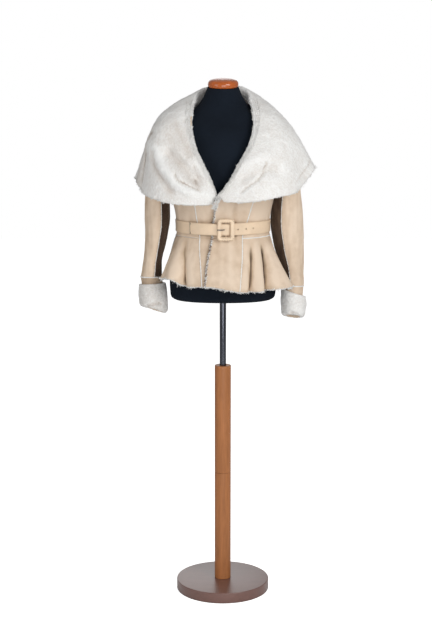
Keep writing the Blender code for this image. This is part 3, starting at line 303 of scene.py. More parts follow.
WRIST_RIGHT = table(SLEEVE_COLUMNS, [
    (0.2520, 0.9976, 0.1880, 0.9976, 0.010, 0.0480, 0.004),
    (0.2480, 0.9680, 0.1840, 0.9680, 0.007, 0.0460, 0.006),
    (0.2470, 0.9390, 0.1820, 0.9300, 0.003, 0.0440, 0.008),
    (0.2450, 0.9090, 0.1800, 0.8880, -0.002, 0.0430, 0.010),
])
# Reach and slant of the turned-back cuffs, as shares of the wrist band.
CUFF_LEFT = (0.84, 0.20)
CUFF_RIGHT = (0.76, 0.04)

# Lines where a cuff's wool is folded in, pushed in and painted with shadow.
CUFF_LINES = {
    "right": [((-0.2283, -0.051, 0.9161), (-0.2059, -0.052, 0.9229), (-0.1887, -0.042, 0.9239))],
    "left": [((0.2086, -0.052, 0.8948), (0.2160, -0.053, 0.8900), (0.2247, -0.053, 0.8882))],
}


# ---------------------------------------------------------------- settings
def colour(name, about, value):
    """A colour setting."""
    return FloatVectorProperty(name=name, description=about, default=value, min=0.0, max=1.0,
                               size=3, subtype="COLOR")


def length(name, about, value, top=0.1):
    """A setting in metres."""
    return FloatProperty(name=name, description=about, default=value, min=0.0, max=top,
                         subtype="DISTANCE", unit="LENGTH")


def power(name, about, value):
    """A light's power setting."""
    return FloatProperty(name=name, description=about, default=value, min=0.0, unit="POWER")


class JacketColours(PropertyGroup):
    suede: colour("Suede", "The napped face of the lambskin", (0.75, 0.61, 0.475))
    suede_dark: colour("Dark suede", "The same nap where it is rubbed or shaded",
                       (0.52, 0.375, 0.25))
    shaded: colour("Shaded suede", "The nap deep under the arms and beside the seams",
                   (0.040, 0.020, 0.011))
    wool: colour("Wool", "The tips of the fleece", (0.825, 0.822, 0.805))
    # Painted shade between the curls of the fleece, mixed with random tint.
    wool_deep: colour("Deep wool", "Between the curls of the fleece", (0.60, 0.545, 0.495))
    # Also the painted shade deep in the fleece's creases and folds, where its shade values are
    # high.
    cut_edge_and_shade: colour("Cut edge", "The brown bits among the wool of the front edge",
                     (0.13, 0.065, 0.035))
    strap: colour("Strap", "The belt's smooth leather", (0.80, 0.62, 0.44))
    jersey: colour("Jersey", "The cover of the dress form", (0.0045, 0.0075, 0.013))
    pole: colour("Pole", "The waxed wood of the pole", (0.44, 0.17, 0.06))
    base: colour("Base", "The stained wood of the base", (0.175, 0.080, 0.062))
    cap: colour("Cap", "The varnished wood of the neck cap", (0.56, 0.12, 0.015))
    steel: colour("Steel", "The rod and the prong", (0.10, 0.105, 0.125))


class FleeceSettings(PropertyGroup):
    curl_size: length("Curl size", "Width of one curl of the fleece", 0.0056)
    curl_height: length("Curl height", "How far the curls stand out", 0.0021)
    fringe_length: length("Fringe length", "How far the raw edges' wool reaches", 0.0060)
    fringe_spacing: length("Fringe spacing", "Distance between the locks of an edge", 0.0016)


class StudioSettings(PropertyGroup):
    aside: length("Aside", "How far the camera stands to the wearer's right", 0.0212, 1.0)
    lens: FloatProperty(name="Lens", description="Focal length of the camera", default=80.7,
                        min=10.0, subtype="DISTANCE_CAMERA")
    distance: length("Distance", "From the camera to the pole", 4.30, 20.0)
    height: length("Height", "The camera's height over the floor", 1.646, 5.0)
    pitch: FloatProperty(name="Pitch", description="How far the camera looks down",
                         default=math.radians(10.17), subtype="ANGLE")
    key_power: power("Key light", "Power of the large soft key light", 80.0)
    fill_power: power("Fill light", "Power of the soft fill light", 24.0)
    front_power: power("Front light", "Power of the low front light", 44.0)
    back_power: power("Back light", "Power of the soft light behind", 17.0)
    sky: FloatProperty(name="Sky", description="Light from the white surroundings",
                       default=0.34, min=0.0, max=5.0, subtype="FACTOR")


# ---------------------------------------------------------------- curves and surfaces
def through(keys, values, at):
    """Smooth curves through values at rising keys, read at many places at once."""
    keys, values = np.asarray(keys, float), np.asarray(values, float)
    at = np.clip(np.asarray(at, float), keys[0], keys[-1])
    ends = np.diff(values) / np.diff(keys)
    inner = (values[2:] - values[:-2]) / (keys[2:] - keys[:-2])
    slopes = np.concatenate([ends[:1], inner, ends[-1:]])
    i = np.clip(np.searchsorted(keys, at, side="right") - 1, 0, len(keys) - 2)
    span = keys[i + 1] - keys[i]
    return hermite((at - keys[i]) / span, span, values[i], values[i + 1], slopes[i],
                   slopes[i + 1])


def read(rows, column, at):
    """A column of a table, keyed by its first column."""
    return through(next(iter(rows.values())), rows[column], at)


def along(rows, column, at):
    """A column of a table between its rows, at row numbers that may be fractions."""
    values = rows[column]
    last = len(values) - 1
    at = np.clip(np.asarray(at, float), 0.0, last)
    i = np.minimum(at.astype(int), last - 1)
    t = at - i
    before, start = values[np.maximum(i - 1, 0)], values[i]
    end, after = values[i + 1], values[np.minimum(i + 2, last)]
    return (start + 0.5 * t * (end - before)
            + t**2 * (before - 2.5 * start + 2 * end - 0.5 * after)
            + t**3 * (1.5 * (start - end) + 0.5 * (after - before)))


def ease_in(value, start, end):
    """Rises smoothly from 0 at the start to 1 at the end."""
    t = np.clip((np.asarray(value, float) - start) / (end - start), 0.0, 1.0)
    return t * t * (3 - 2 * t)


def bell(distance, width):
    """Falls smoothly from 1 at no distance to almost 0 at two widths."""
    return np.exp(-((distance / width) ** 2))


def unit(vectors):
    """The same directions, each one long."""
    return vectors / np.maximum(np.linalg.norm(vectors, axis=-1, keepdims=True), 1e-12)


def wrap(angle):
    """The same angle between -180 and 180."""
    return (np.asarray(angle, float) + 180.0) % 360.0 - 180.0


def point(x, y, z):
    """Points from three broadcast coordinates."""
    return np.stack(np.broadcast_arrays(x, y, z), axis=-1).astype(float)


def squared(value, square):
    """A sine or cosine for a round (square 2) or a squarer section."""
    return np.copysign(np.abs(value) ** (2.0 / square), value)


def form_point(angle, z):
    """A point on the dress form. Angle 0 is the front, 90 the wearer's left side."""
    angle, z = np.broadcast_arrays(np.asarray(angle, float), np.asarray(z, float))
    turn = np.radians(angle)
    square = read(FORM, "square", z)
    across, ahead = squared(np.sin(turn), square), squared(np.cos(turn), square)
    depth = np.where(ahead > 0, read(FORM, "front", z), read(FORM, "back", z))
    y = -depth * ahead
    tilt = math.tan(NECK_TILT) * ease_in(z, NECK_SEAM_Z, NECK_TOP_Z)
    return point(read(FORM, "half_width", z) * across, read(FORM, "lean", z) + y, z + tilt * y)


def normal_of(surface, u, v, step_u, step_v):
    """Unit normals of a surface at u and v, from small steps to either side."""
    across = surface(u + step_u, v) - surface(u - step_u, v)
    up = surface(u, v + step_v) - surface(u, v - step_v)
    return unit(np.cross(across, up))


def bodice_point(angle, z, offset=0.0):
    """A point on the bodice: offset 0 is its inner face, WALL its outer face."""
    out = normal_of(form_point, np.asarray(angle, float), np.asarray(z, float), 1.0, 0.002)
    away = read(EASE, "ease", z) + offset
    return form_point(angle, z) + out * np.asarray(away)[..., None]


def peplum_share(z):
    """How far down the peplum a height is: 0 at the waist seam, 1 at the hem."""
    return np.maximum(WAIST_SEAM_Z - z, 0.0) / (WAIST_SEAM_Z - HEM_Z)


def peplum_point(angle, z):
    """The inner face of the flared skirt, at a height measured before its drop."""
    angle, z = np.broadcast_arrays(wrap(angle), np.asarray(z, float))
    share = peplum_share(z)
    turn = np.radians(angle)
    out = unit(point(np.sin(turn), -np.cos(turn) * 0.8, 0.0))
    reach = read(FLARE, "reach", angle) * share**0.95
    for waist_angle, hem_angle, depth, width in FOLDS:
        away = wrap(angle - (waist_angle + (hem_angle - waist_angle) * share)) / width
        reach = reach + depth * share**1.3 * np.exp(-away * away)
    at = bodice_point(angle, np.full_like(z, WAIST_SEAM_Z)) + out * reach[..., None]
    at[..., 2] = z - read(FLARE, "drop", angle) * share
    return at


def jacket_point(angle, z, offset=0.0):
    """A point on the jacket's body, above or below the waist seam."""
    angle, z, offset = np.broadcast_arrays(*[np.asarray(v, float) for v in (angle, z, offset)])
    above = bodice_point(angle, np.maximum(z, WAIST_SEAM_Z), offset)
    low = np.minimum(z, WAIST_SEAM_Z - 0.004)
    out = normal_of(peplum_point, angle, low, 1.0, 0.003)
    level = unit(out * np.array([1.0, 1.0, 0.5]))
    below = peplum_point(angle, np.minimum(z, WAIST_SEAM_Z)) + level * offset[..., None]
    return np.where((z >= WAIST_SEAM_Z)[..., None], above, below)


def lap(angle, z):
    """How far the overlapping left front stands out to clear the right front under it."""
    ends = ease_in(z, V_POINT_Z - 0.002, V_POINT_Z + 0.03)
    inside = 1 - ease_in(angle, UNDERLAP_ANGLE + 1.5, LAP_END_ANGLE)
    return (WALL + 2 * CLEAR) * inside * (1 - ends)


def armhole_gap(z):
    """The angle from the side line to the armhole's edge at a height."""
    rise = ARMHOLE_RISE - WALL
    part = np.clip((np.asarray(z, float) - ARMHOLE_Z) / rise, -1.0, 1.0)
    return ARMHOLE_SPREAD * rise / ARMHOLE_RISE * np.sqrt(1 - part * part)


def solve(function, target, low, high):
    """Where a rising function reaches each target."""
    target = np.asarray(target, float)
    low, high = np.full_like(target, low), np.full_like(target, high)
    for _ in range(34):
        middle = 0.5 * (low + high)
        less = function(middle) < target
        low, high = np.where(less, middle, low), np.where(less, high, middle)
    return 0.5 * (low + high)


def neck_angle(stations, station):
    """The angle, on its own side, at which the collar is sewn to the bodice."""
    station = np.asarray(station, float)
    front = np.minimum(station, NECK_POINT_STATION - 1e-6)
    z = np.minimum(along(stations, "neck_z", front), NECK_SEAM_Z)
    x = along(stations, "neck_x", front)
    at = solve(lambda a: bodice_point(a, z, WALL / 2)[..., 0], x, -30.0, 89.0)
    share = (station - NECK_POINT_STATION) / (len(stations["neck_z"]) - 1 - NECK_POINT_STATION)
    return np.where(station < NECK_POINT_STATION, at, at + (180.0 - at) * share)


def neckline(stations, z):
    """The angle, on its own side, of the neckline at a height above the front point."""
    station = solve(lambda s: along(stations, "neck_z", s), z, 0.0, NECK_POINT_STATION - 1e-6)
    return neck_angle(stations, station)


def seam_gap(z):
    """Half the gap between two panels, as an angle."""
    return np.degrees(0.5 * SEAM * 1.3 / (0.8 * read(FORM, "half_width", z)))


# ---------------------------------------------------------------- fleece and nap
def curls(points, size, seed=0.0):
    """The height of the fleece's curls at each point, from 0 between them to 1 on top."""
    noise.seed_set(CURL_SEED)
    flat = points.reshape(-1, 3) / size + seed
    heights = np.empty(len(flat))
    for k, at in enumerate(flat):
        here = Vector(at)
        here += noise.noise_vector(here * 0.55) * 0.8
        gaps = noise.voronoi(here)[0]
        heights[k] = gaps[1] - gaps[0]
    heights = np.clip(heights / 0.55, 0.0, 1.0)
    return (heights * (2 - heights)).reshape(points.shape[:-1])


def clouds(points, size, seed=0.0):
    """Smooth uneven heights between -1 and 1."""
    flat = points.reshape(-1, 3) / size + seed
    values = [noise.noise(Vector(at)) for at in flat]
    return np.array(values).reshape(points.shape[:-1])


def grid_normals(grid, closed=False):
    """Unit normals of a grid of points, towards (rows x columns)."""
    if closed:
        columns = (np.roll(grid, -1, axis=1) - np.roll(grid, 1, axis=1)) / 2
    else:
        columns = np.gradient(grid, axis=1)
    return unit(np.cross(columns, np.gradient(grid, axis=0)))


# ---------------------------------------------------------------- meshes
def new_piece(name, mesh, replaced=(), body=TORSO):
    """A named piece that rides on a body and stands for its solids."""
    thing = bpy.data.objects.new(name, mesh)
    bpy.context.scene.collection.objects.link(thing)
    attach(thing, body)
    if replaced:
        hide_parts(*replaced)
    return thing


def mesh_from(name, points, faces, materials, which=None, curl=None, shade=None):
    """A smooth mesh from points and same-sized faces, wound outwards.

    curl and shade are values at its points, read by the materials, which paint shade where curl is
    low and where shade is high.
    """
    points, faces = np.asarray(points, float).reshape(-1, 3), np.asarray(faces, int)
    corners = [points[faces[:, k]] for k in range(faces.shape[1])]
    volume = 0.0
    for near, far in zip(corners[1:], corners[2:]):
        volume += float((corners[0] * np.cross(near, far)).sum())
    if volume < 0:
        faces = faces[:, ::-1]
    mesh = bpy.data.meshes.new(name)
    mesh.vertices.add(len(points))
    mesh.vertices.foreach_set("co", points.ravel())
    mesh.loops.add(faces.size)
    mesh.loops.foreach_set("vertex_index", faces.ravel())
    mesh.polygons.add(len(faces))
    mesh.polygons.foreach_set("loop_start", np.arange(len(faces)) * faces.shape[1])
    for material in materials:
        mesh.materials.append(material)
    if which is not None:
        mesh.polygons.foreach_set("material_index", np.asarray(which, int))
    mesh.update()
    mesh.validate()
    mesh.shade_smooth()
    for label, values, usual in (("curl", curl, 1.0), ("shade", shade, 0.0)):
        filled = np.full(len(points), usual) if values is None else values
        mesh.attributes.new(label, "FLOAT", "POINT").data.foreach_set("value", filled)
    return mesh


def strips(rows, columns, closed):
    """Quads of a grid, as numbers of its points."""
    i = np.arange(rows - 1)[:, None] * columns
    j = np.arange(columns if closed else columns - 1)[None, :]
    ahead = (j + 1) % columns
    return np.stack([i + j, i + ahead, i + columns + ahead, i + columns + j], -1).reshape(-1, 4)


def rim_loops(rows, columns, closed):
    """The grid's edge as closed loops of point numbers."""
    first = list(range(columns))
    last = [(rows - 1) * columns + j for j in reversed(range(columns))]
    if closed:
        return [first, last]
    right = [i * columns + columns - 1 for i in range(1, rows - 1)]
    left = [i * columns for i in reversed(range(1, rows - 1))]
    return [first + right + last + left]


def shell(name, outer, inner, materials, closed=False, bulge=0.0012, curl=(None, None),
          shade=None):
    """A thin wall between two grids, with a rounded raw edge.

    materials are those of the outer face, the inner face and the edge; curl has the values
    of the outer and the inner face, and shade those of the outer face.
    """
    count = outer.shape[0] * outer.shape[1]
    out, within = outer.reshape(-1, 3), inner.reshape(-1, 3)
    quads = strips(*outer.shape[:2], closed)
    points, faces = [out, within], [quads, quads[:, ::-1] + count]
    which = [np.zeros(len(quads)), np.ones(len(quads))]
    heights = [np.ones(count) if part is None else part.ravel() for part in curl]
    shades = [shade.ravel(), np.zeros(count)]
    start = 2 * count
    pull = grid_pull(outer, closed)
    for loop in rim_loops(*outer.shape[:2], closed):
        loop = np.array(loop)
        ahead = np.roll(loop, -1)
        mids = start + np.arange(len(loop))
        mids_ahead = np.roll(mids, -1)
        faces.append(np.stack([ahead, loop, mids, mids_ahead], -1))
        faces.append(np.stack([mids_ahead, mids, loop + count, ahead + count], -1))
        which.append(np.full(2 * len(loop), 2))
        points.append((out[loop] + within[loop]) / 2 + pull[loop] * bulge)
        heights.append(np.full(len(loop), 0.8))
        shades.append(np.zeros(len(loop)))
        start += len(loop)
    return mesh_from(name, np.concatenate(points), np.concatenate(faces), materials,
                     np.concatenate(which), np.concatenate(heights), np.concatenate(shades))


def skin_piece(name, outer, inner, slot, curl, shade, closed=False, bulge=0.0012):
    """A piece of lambskin with its suede or its wool (slot) outside, in place of its solid.

    curl belongs to the woolly face, shade to the outer one.
    """
    faces, heights = ["napped suede", "curly wool"], (None, curl)
    if slot == "wool":
        faces, heights = faces[::-1], (curl, None)
    mesh = shell(name, outer, inner, [material(face) for face in faces + ["raw wool"]], closed,
                 bulge, heights, shade)
    new_piece(name + "_skin", mesh, [name])


def softened(grid, times):
    """A grid whose points are drawn towards their neighbours again and again."""
    for _ in range(times):
        wide = np.pad(grid, ((1, 1), (1, 1), (0, 0)), mode="edge")
        across = wide[1:-1, :-2] + wide[1:-1, 2:]
        grid = (across + (wide[:-2, 1:-1] + wide[2:, 1:-1])) / 4
    return grid


def hollow(grid, out, times, depth):
    """How hollow a surface is: 1 for a hollow of the given depth, less than 0 for a ridge."""
    inner = softened(grid, times) - grid
    edge = np.ones(grid.shape[:2])
    for k in range(times // 3):
        fade = (k + 0.5) / (times // 3)
        edge[k] = edge[-1 - k] = fade
        edge[:, k] *= fade
        edge[:, -1 - k] *= fade
    return np.clip((inner * out).sum(axis=2) * edge / depth, -1.0, 1.0)


def near_seams(grid, width):
    """1 at a panel's two side edges, fading over a width."""
    return sum(bell(np.linalg.norm(grid - edge, axis=2), width)
               for edge in (grid[:, :1], grid[:, -1:]))


def grid_pull(grid, closed):
    """Unit directions out of the grid at its edge, for each of its points."""
    pull = np.zeros_like(grid)
    pull[0] += unit(grid[0] - grid[1])
    pull[-1] += unit(grid[-1] - grid[-2])
    if not closed:
        pull[:, 0] += unit(grid[:, 0] - grid[:, 1])
        pull[:, -1] += unit(grid[:, -1] - grid[:, -2])
    return unit(pull).reshape(-1, 3)


def lathe(profile, steps=128):
    """Points and faces of a shape turned about Z, from (radius, height) rows, low to high."""
    profile = np.array(profile, float)
    turn = np.linspace(0, 2 * math.pi, steps, endpoint=False)
    radius = np.maximum(profile[:, 0], 1e-5)[:, None]
    grid = point(radius * np.cos(turn), radius * np.sin(turn), profile[:, 1][:, None])
    return grid.reshape(-1, 3), strips(len(profile), steps, True)


def rounded(profile, radius, steps=5):
    """A profile with its inner corners rounded."""
    rows = [profile[0]]
    for before, here, after in zip(profile, profile[1:], profile[2:]):
        here = np.array(here, float)
        back, ahead = unit(np.array(before) - here), unit(np.array(after) - here)
        for t in np.linspace(0, 1, steps):
            rows.append(here + back * radius * (1 - t) ** 2 + ahead * radius * t**2)
    return rows + [profile[-1]]


def rods(count, rings):
    """Quads of many four-sided rods, each with its own rings of points, closed at both ends."""
    quads = [(3, 2, 1, 0), tuple(range(4 * rings - 4, 4 * rings))]
    for k in range(rings - 1):
        for s in range(4):
            a, b = 4 * k + s, 4 * k + (s + 1) % 4
            quads.append((a, b, b + 4, a + 4))
    return (np.array(quads)[None] + np.arange(count)[:, None, None] * 4 * rings).reshape(-1, 4)


def locks(name, roots, ways, lifts, reach, thick, seed, rings=4, brown=0.0):
    """Many small bent locks of wool, rooted at points, along ways and curling up by lifts.

    brown is the share of the locks that are bits of the skin's cut edge.
    """
    rng = np.random.default_rng(seed)
    n = len(roots)
    way = unit(ways + rng.normal(0, 0.45, (n, 3)))
    lift = unit(lifts + rng.normal(0, 0.35, (n, 3)))
    side = unit(np.cross(way, lift))
    size = reach * rng.uniform(0.6, 1.2, (n, 1))
    width = thick * rng.uniform(0.7, 1.3, (n, 1))
    shades = np.where(rng.uniform(0, 1, n) < brown, 1.0, rng.uniform(-0.25, 0.1, n))
    bend = rng.uniform(-0.8, 1.2, (n, 1))
    twist = rng.uniform(-0.9, 0.9, (n, 1))
    points, heights = [], []
    for t in np.arange(rings) / (rings - 1):
        centre = roots + size * (way * (t - 0.45 * t * t) + lift * bend * t * t * 0.7
                                 + side * twist * t * t * 0.7)
        fat = width * (1.0 - 0.45 * t**2)
        for turn in np.arange(4) * math.pi / 2:
            points.append(centre + fat * (side * math.cos(turn) + lift * math.sin(turn)))
            # Lower curl values towards the root paint the lock in shade there.
            heights.append(np.full(n, 0.35 + 0.65 * t))
    return mesh_from(name, np.stack(points, axis=1), rods(n, rings), [material("curly wool")],
                     curl=np.stack(heights, axis=1).ravel(), shade=np.repeat(shades, 4 * rings))


def spaced(line, spacing):
    """Places along a line of points, about evenly spaced, as fractional point numbers."""
    run = np.concatenate([[0], np.cumsum(np.linalg.norm(np.diff(line, axis=0), axis=1))])
    count = max(int(run[-1] / spacing), 2)
    return np.interp(np.linspace(0, run[-1], count), run, np.arange(len(line)))


def at_places(values, places):
    """Values between the points of a line, at fractional point numbers."""
    i = np.minimum(places.astype(int), len(values) - 2)
    t = (places - i)[:, None]
    return values[i] * (1 - t) + values[i + 1] * t


def ring_of(rows):
    """The first row of a closed grid, with its first point again at the end."""
    return np.concatenate([rows[0], rows[0][:1]])


# ---------------------------------------------------------------- shading
def add(tree, kind, inputs=None, **settings):
    """A node with its settings, its inputs given as values or as other nodes' sockets."""
    made = tree.nodes.new(kind)
    for name, value in settings.items():
        setattr(made, name, value)
    for key, value in (inputs or {}).items():
        if isinstance(value, bpy.types.NodeSocket):
            tree.links.new(value, made.inputs[key])
        else:
            made.inputs[key].default_value = value
    return made


def group(name, takes, gives=(("Color", "Color"), ("Normal", "Vector"))):
    """A shared node group: its tree, the sockets it is given, and those it fills."""
    tree = bpy.data.node_groups.new(name, "ShaderNodeTree")
    for way, sockets in (("INPUT", takes), ("OUTPUT", gives)):
        for label, kind in sockets:
            tree.interface.new_socket(label, in_out=way, socket_type="NodeSocket" + kind)
    return tree, tree.nodes.new("NodeGroupInput").outputs, tree.nodes.new("NodeGroupOutput").inputs


def place(tree):
    """The point that is shaded, in its piece's own space."""
    return add(tree, "ShaderNodeTexCoord").outputs["Object"]


def value_of(tree, name):
    """A value that the mesh has at its points."""
    return add(tree, "ShaderNodeAttribute", attribute_name=name).outputs["Fac"]


def speckle(tree, where, scale, detail=2.0, rough=0.5):
    """A fine uneven pattern from 0 to 1."""
    return add(tree, "ShaderNodeTexNoise", {"Vector": where, "Scale": scale, "Detail": detail,
                                            "Roughness": rough}).outputs["Fac"]


def stretch(tree, value, low, high):
    """A value spread so that low becomes 0 and high becomes 1."""
    return add(tree, "ShaderNodeMapRange", {"Value": value, "From Min": low, "From Max": high},
               clamp=True).outputs["Result"]


def combine(tree, how, first, second):
    """The result of a sum between two values or sockets."""
    return add(tree, "ShaderNodeMath", {0: first, 1: second}, operation=how).outputs[0]


def weighed(tree, *parts):
    """The sum of some sockets, each as (socket, weight)."""
    total = None
    for socket, weight in parts:
        part = socket if weight == 1 else combine(tree, "MULTIPLY", socket, weight)
        total = part if total is None else combine(tree, "ADD", total, part)
    return total


def blend_colour(tree, share, first, second):
    """A colour between two others."""
    return add(tree, "ShaderNodeMix", {0: share, 6: first, 7: second}, data_type="RGBA",
               blend_type="MIX").outputs[2]


def fill(tree, wanted, colour_socket, height, depth):
    """Gives a group's result: its colour, and the normal of its relief."""
    relief = add(tree, "ShaderNodeBump", {"Height": height, "Distance": depth})
    tree.links.new(colour_socket, wanted["Color"])
    tree.links.new(relief.outputs["Normal"], wanted["Normal"])
    return tree


def nap_group():
    """Napped skin: clouded where the nap lies another way, with a fine grain and painted shade."""
    tree, given, wanted = group(
        "Nap", [("Light", "Color"), ("Dark", "Color"), ("Shaded", "Color"), ("Clouds", "Float"),
                ("Grain", "Float"), ("Depth", "Float")])
    where, shade = place(tree), value_of(tree, "shade")
    broad = stretch(tree, speckle(tree, where, given["Clouds"], 4.0, 0.6), 0.36, 0.68)
    fine = stretch(tree, speckle(tree, where, given["Grain"], 3.0, 0.7), 0.3, 0.7)
    # The shade values paint shade over the random clouds and grain, and painted highlights where
    # they are below 0.
    share = stretch(tree, weighed(tree, (broad, 0.5), (fine, 0.22), (shade, 1)), 0.0, 1.0)
    lit = blend_colour(tree, share, given["Light"], given["Dark"])
    lit = blend_colour(tree, stretch(tree, shade, 0.35, 1.0), lit, given["Shaded"])
    return fill(tree, wanted, lit, fine, given["Depth"])


def fleece_group():
    """Curly wool: painted shade between the curls and where its shade values are high, each curl
    finely waved.
    """
    tree, given, wanted = group(
        "Fleece", [("Tip", "Color"), ("Deep", "Color"), ("Shaded", "Color"), ("Strand", "Float"),
                   ("Depth", "Float")])
    where, shade = place(tree), value_of(tree, "shade")
    # Painted shade: the lower a point lies between the curls, the more of the deep colour.
    between_curls = combine(tree, "SUBTRACT", 1.0, value_of(tree, "curl"))
    between_curls = combine(tree, "POWER", between_curls, 1.5)
    tint = stretch(tree, speckle(tree, where, 26.0, 3.0), 0.35, 0.7)
    strand = speckle(tree, where, given["Strand"], 3.0, 0.6)
    share = weighed(tree, (between_curls, 0.42), (tint, 0.16), (strand, 0.10), (shade, 1))
    lit = blend_colour(tree, stretch(tree, share, 0.05, 1.0), given["Tip"], given["Deep"])
    # High shade values: the brown cut-edge bits, and painted shade in creases and folds.
    lit = blend_colour(tree, stretch(tree, shade, 0.5, 1.0), lit, given["Shaded"])
    return fill(tree, wanted, lit, strand, given["Depth"])


def grain_group():
    """Wood: long streaks and pores that run along one axis."""
    tree, given, wanted = group(
        "Grain", [("Light", "Color"), ("Dark", "Color"), ("Stretch", "Vector"),
                  ("Depth", "Float")])
    along_grain = add(tree, "ShaderNodeVectorMath", {0: place(tree), 1: given["Stretch"]},
                      operation="MULTIPLY").outputs["Vector"]
    streak = stretch(tree, speckle(tree, along_grain, 1.0, 6.0, 0.65), 0.3, 0.7)
    pores = stretch(tree, speckle(tree, along_grain, 5.0, 2.0), 0.42, 0.62)
    share = weighed(tree, (streak, 0.7), (pores, 0.2))
    lit = blend_colour(tree, share, given["Light"], given["Dark"])
    return fill(tree, wanted, lit, pores, given["Depth"])


def knit_group():
    """A fine ribbed knit, a little faded here and there."""
    tree, given, wanted = group("Knit", [("Yarn", "Color"), ("Faded", "Color"),
                                         ("Ribs", "Float"), ("Depth", "Float")])
    where = place(tree)
    rows = add(tree, "ShaderNodeTexWave", {"Vector": where, "Scale": given["Ribs"],
                                           "Distortion": 1.0, "Detail": 1.0},
               bands_direction="Z").outputs["Fac"]
    faded = stretch(tree, speckle(tree, where, 9.0, 3.0), 0.3, 0.75)
    lit = blend_colour(tree, weighed(tree, (faded, 0.35)), given["Yarn"], given["Faded"])
    return fill(tree, wanted, lit, rows, given["Depth"])


GROUPS = {"Nap": nap_group, "Fleece": fleece_group, "Grain": grain_group, "Knit": knit_group}

# Each material: its shared group; the group's colours as (socket, setting, times); the group's
# other values; and the shader's own values.
MATERIALS = {
    "napped suede": (
        "Nap", [("Light", "suede", 1.0), ("Dark", "suede_dark", 1.0), ("Shaded", "shaded", 1.0)],
        {"Clouds": 16.0, "Grain": 700.0, "Depth": 0.0004},
        {"Roughness": 0.9, "Sheen Weight": 0.22, "Sheen Roughness": 0.4,
         "Sheen Tint": (1.0, 0.74, 0.52, 1.0)}),
    "curly wool": (
        "Fleece", [("Tip", "wool", 1.0), ("Deep", "wool_deep", 1.0), ("Shaded", "cut_edge_and_shade", 1.0)],
        {"Strand": 900.0, "Depth": 0.0007}, {"Roughness": 1.0, "Sheen Weight": 0.2}),
    "raw wool": (
        "Fleece", [("Tip", "wool", 1.0), ("Deep", "wool_deep", 1.1), ("Shaded", "cut_edge_and_shade", 1.0)],
        {"Strand": 900.0, "Depth": 0.0007}, {"Roughness": 1.0, "Sheen Weight": 0.2}),
    "strap leather": (
        "Nap", [("Light", "strap", 1.0), ("Dark", "strap", 0.8), ("Shaded", "shaded", 1.0)],
        {"Clouds": 22.0, "Grain": 520.0, "Depth": 0.0002},
        {"Roughness": 0.42, "Coat Weight": 0.12, "Coat Roughness": 0.3}),
    "strap thread": (
        "Nap", [("Light", "strap", 1.1), ("Dark", "strap", 0.6), ("Shaded", "shaded", 1.0)],
        {"Clouds": 60.0, "Grain": 1500.0, "Depth": 0.0002}, {"Roughness": 0.7}),
    "black jersey": (
        "Knit", [("Yarn", "jersey", 1.0), ("Faded", "jersey", 2.65)],
        {"Ribs": 260.0, "Depth": 0.0002}, {"Roughness": 0.9, "Specular IOR Level": 0.15}),
    "pole wood": (
        "Grain", [("Light", "pole", 1.0), ("Dark", "pole", 0.62)],
        {"Stretch": (60.0, 60.0, 5.0), "Depth": 0.0001},
        {"Roughness": 0.42, "Specular IOR Level": 0.3}),
    "base wood": (
        "Grain", [("Light", "base", 1.0), ("Dark", "base", 0.7)],
        {"Stretch": (7.0, 60.0, 60.0), "Depth": 0.0001},
        {"Roughness": 0.4, "Coat Weight": 0.9, "Coat Roughness": 0.3}),
    "cap wood": (
        "Grain", [("Light", "cap", 1.0), ("Dark", "cap", 0.5)],
        {"Stretch": (9.0, 60.0, 60.0), "Depth": 0.0001},
        {"Roughness": 0.25, "Coat Weight": 0.3, "Coat Roughness": 0.1}),
    "polished steel": (
        "Grain", [("Light", "steel", 1.0), ("Dark", "steel", 0.7)],
        {"Stretch": (900.0, 900.0, 20.0), "Depth": 0.00001},
        {"Roughness": 0.16, "Metallic": 1.0}),
}


def material(name):
    """One of the jacket's materials, made when it is first wanted."""
    made = bpy.data.materials.get(name)
    if made:
        return made
    effect, colours, values, shader_values = MATERIALS[name]
    made = bpy.data.materials.new(name)
    made.use_nodes = True
    tree = made.node_tree
    shared = bpy.data.node_groups.get(effect) or GROUPS[effect]()
    for socket, setting, times in colours:
        tint = getattr(bpy.context.scene.jacket_colours, setting)
        values = {**values, socket: (*(min(part * times, 1.0) for part in tint), 1.0)}
    node = add(tree, "ShaderNodeGroup", node_tree=shared)
    shader = tree.nodes["Principled BSDF"]
    for inputs, given in ((node.inputs, values), (shader.inputs, shader_values)):
        for key, value in given.items():
            inputs[key].default_value = value
    tree.links.new(node.outputs["Color"], shader.inputs["Base Color"])
    tree.links.new(node.outputs["Normal"], shader.inputs["Normal"])
    return made


# ---------------------------------------------------------------- the jacket's body
# Where the wool of the two collar ends meets above the opening.
FRONT_POINT = ((-0.013, -0.176, 1.260), (-0.019, -0.180, 1.244), (-0.024, -0.178, 1.224))
PEPLUM_ROWS = np.linspace(HEM_Z, WAIST_SEAM_Z - SEAM, 38)
BODICE_ROWS = np.linspace(WAIST_SEAM_Z, NECK_SEAM_Z, 96)
UNDERLAP_TOP_Z = (BELT_Z + BELT_HEIGHT / 2 + V_POINT_Z) / 2


def rumpled(grid, out, seed, upright=0.0):
    """A face of skin made slightly uneven, with soft upright folds of a given depth."""
    wave = clouds(grid, 0.048, seed) * 0.0010 + clouds(grid, 0.015, seed + 7.0) * 0.0003
    if upright:
        wave = wave + clouds(grid * np.array([1.0, 1.0, 0.22]), 0.013, seed + 9.0) * upright
    return grid + out * wave[..., None]


def spread(columns):
    """Shares from 0 to 1 across a panel, with one more column close to either edge."""
    step = 1.0 / columns
    return np.concatenate([[0.0, 0.35 * step], np.linspace(step, 1.0 - step, columns - 1),
                           [1.0 - 0.35 * step, 1.0]])


def fleeced(grid, out, height, seed, taper=1.0):
    """A face of wool with its curls, and the curls' heights."""
    fleece = bpy.context.scene.jacket_fleece
    curl = curls(grid, fleece.curl_size, seed)
    loose = 0.5 + 0.5 * clouds(grid, 0.017, seed + 3.0)
    rise = (curl * height + loose * height * 0.5) * taper
    return grid + out * rise[..., None], curl


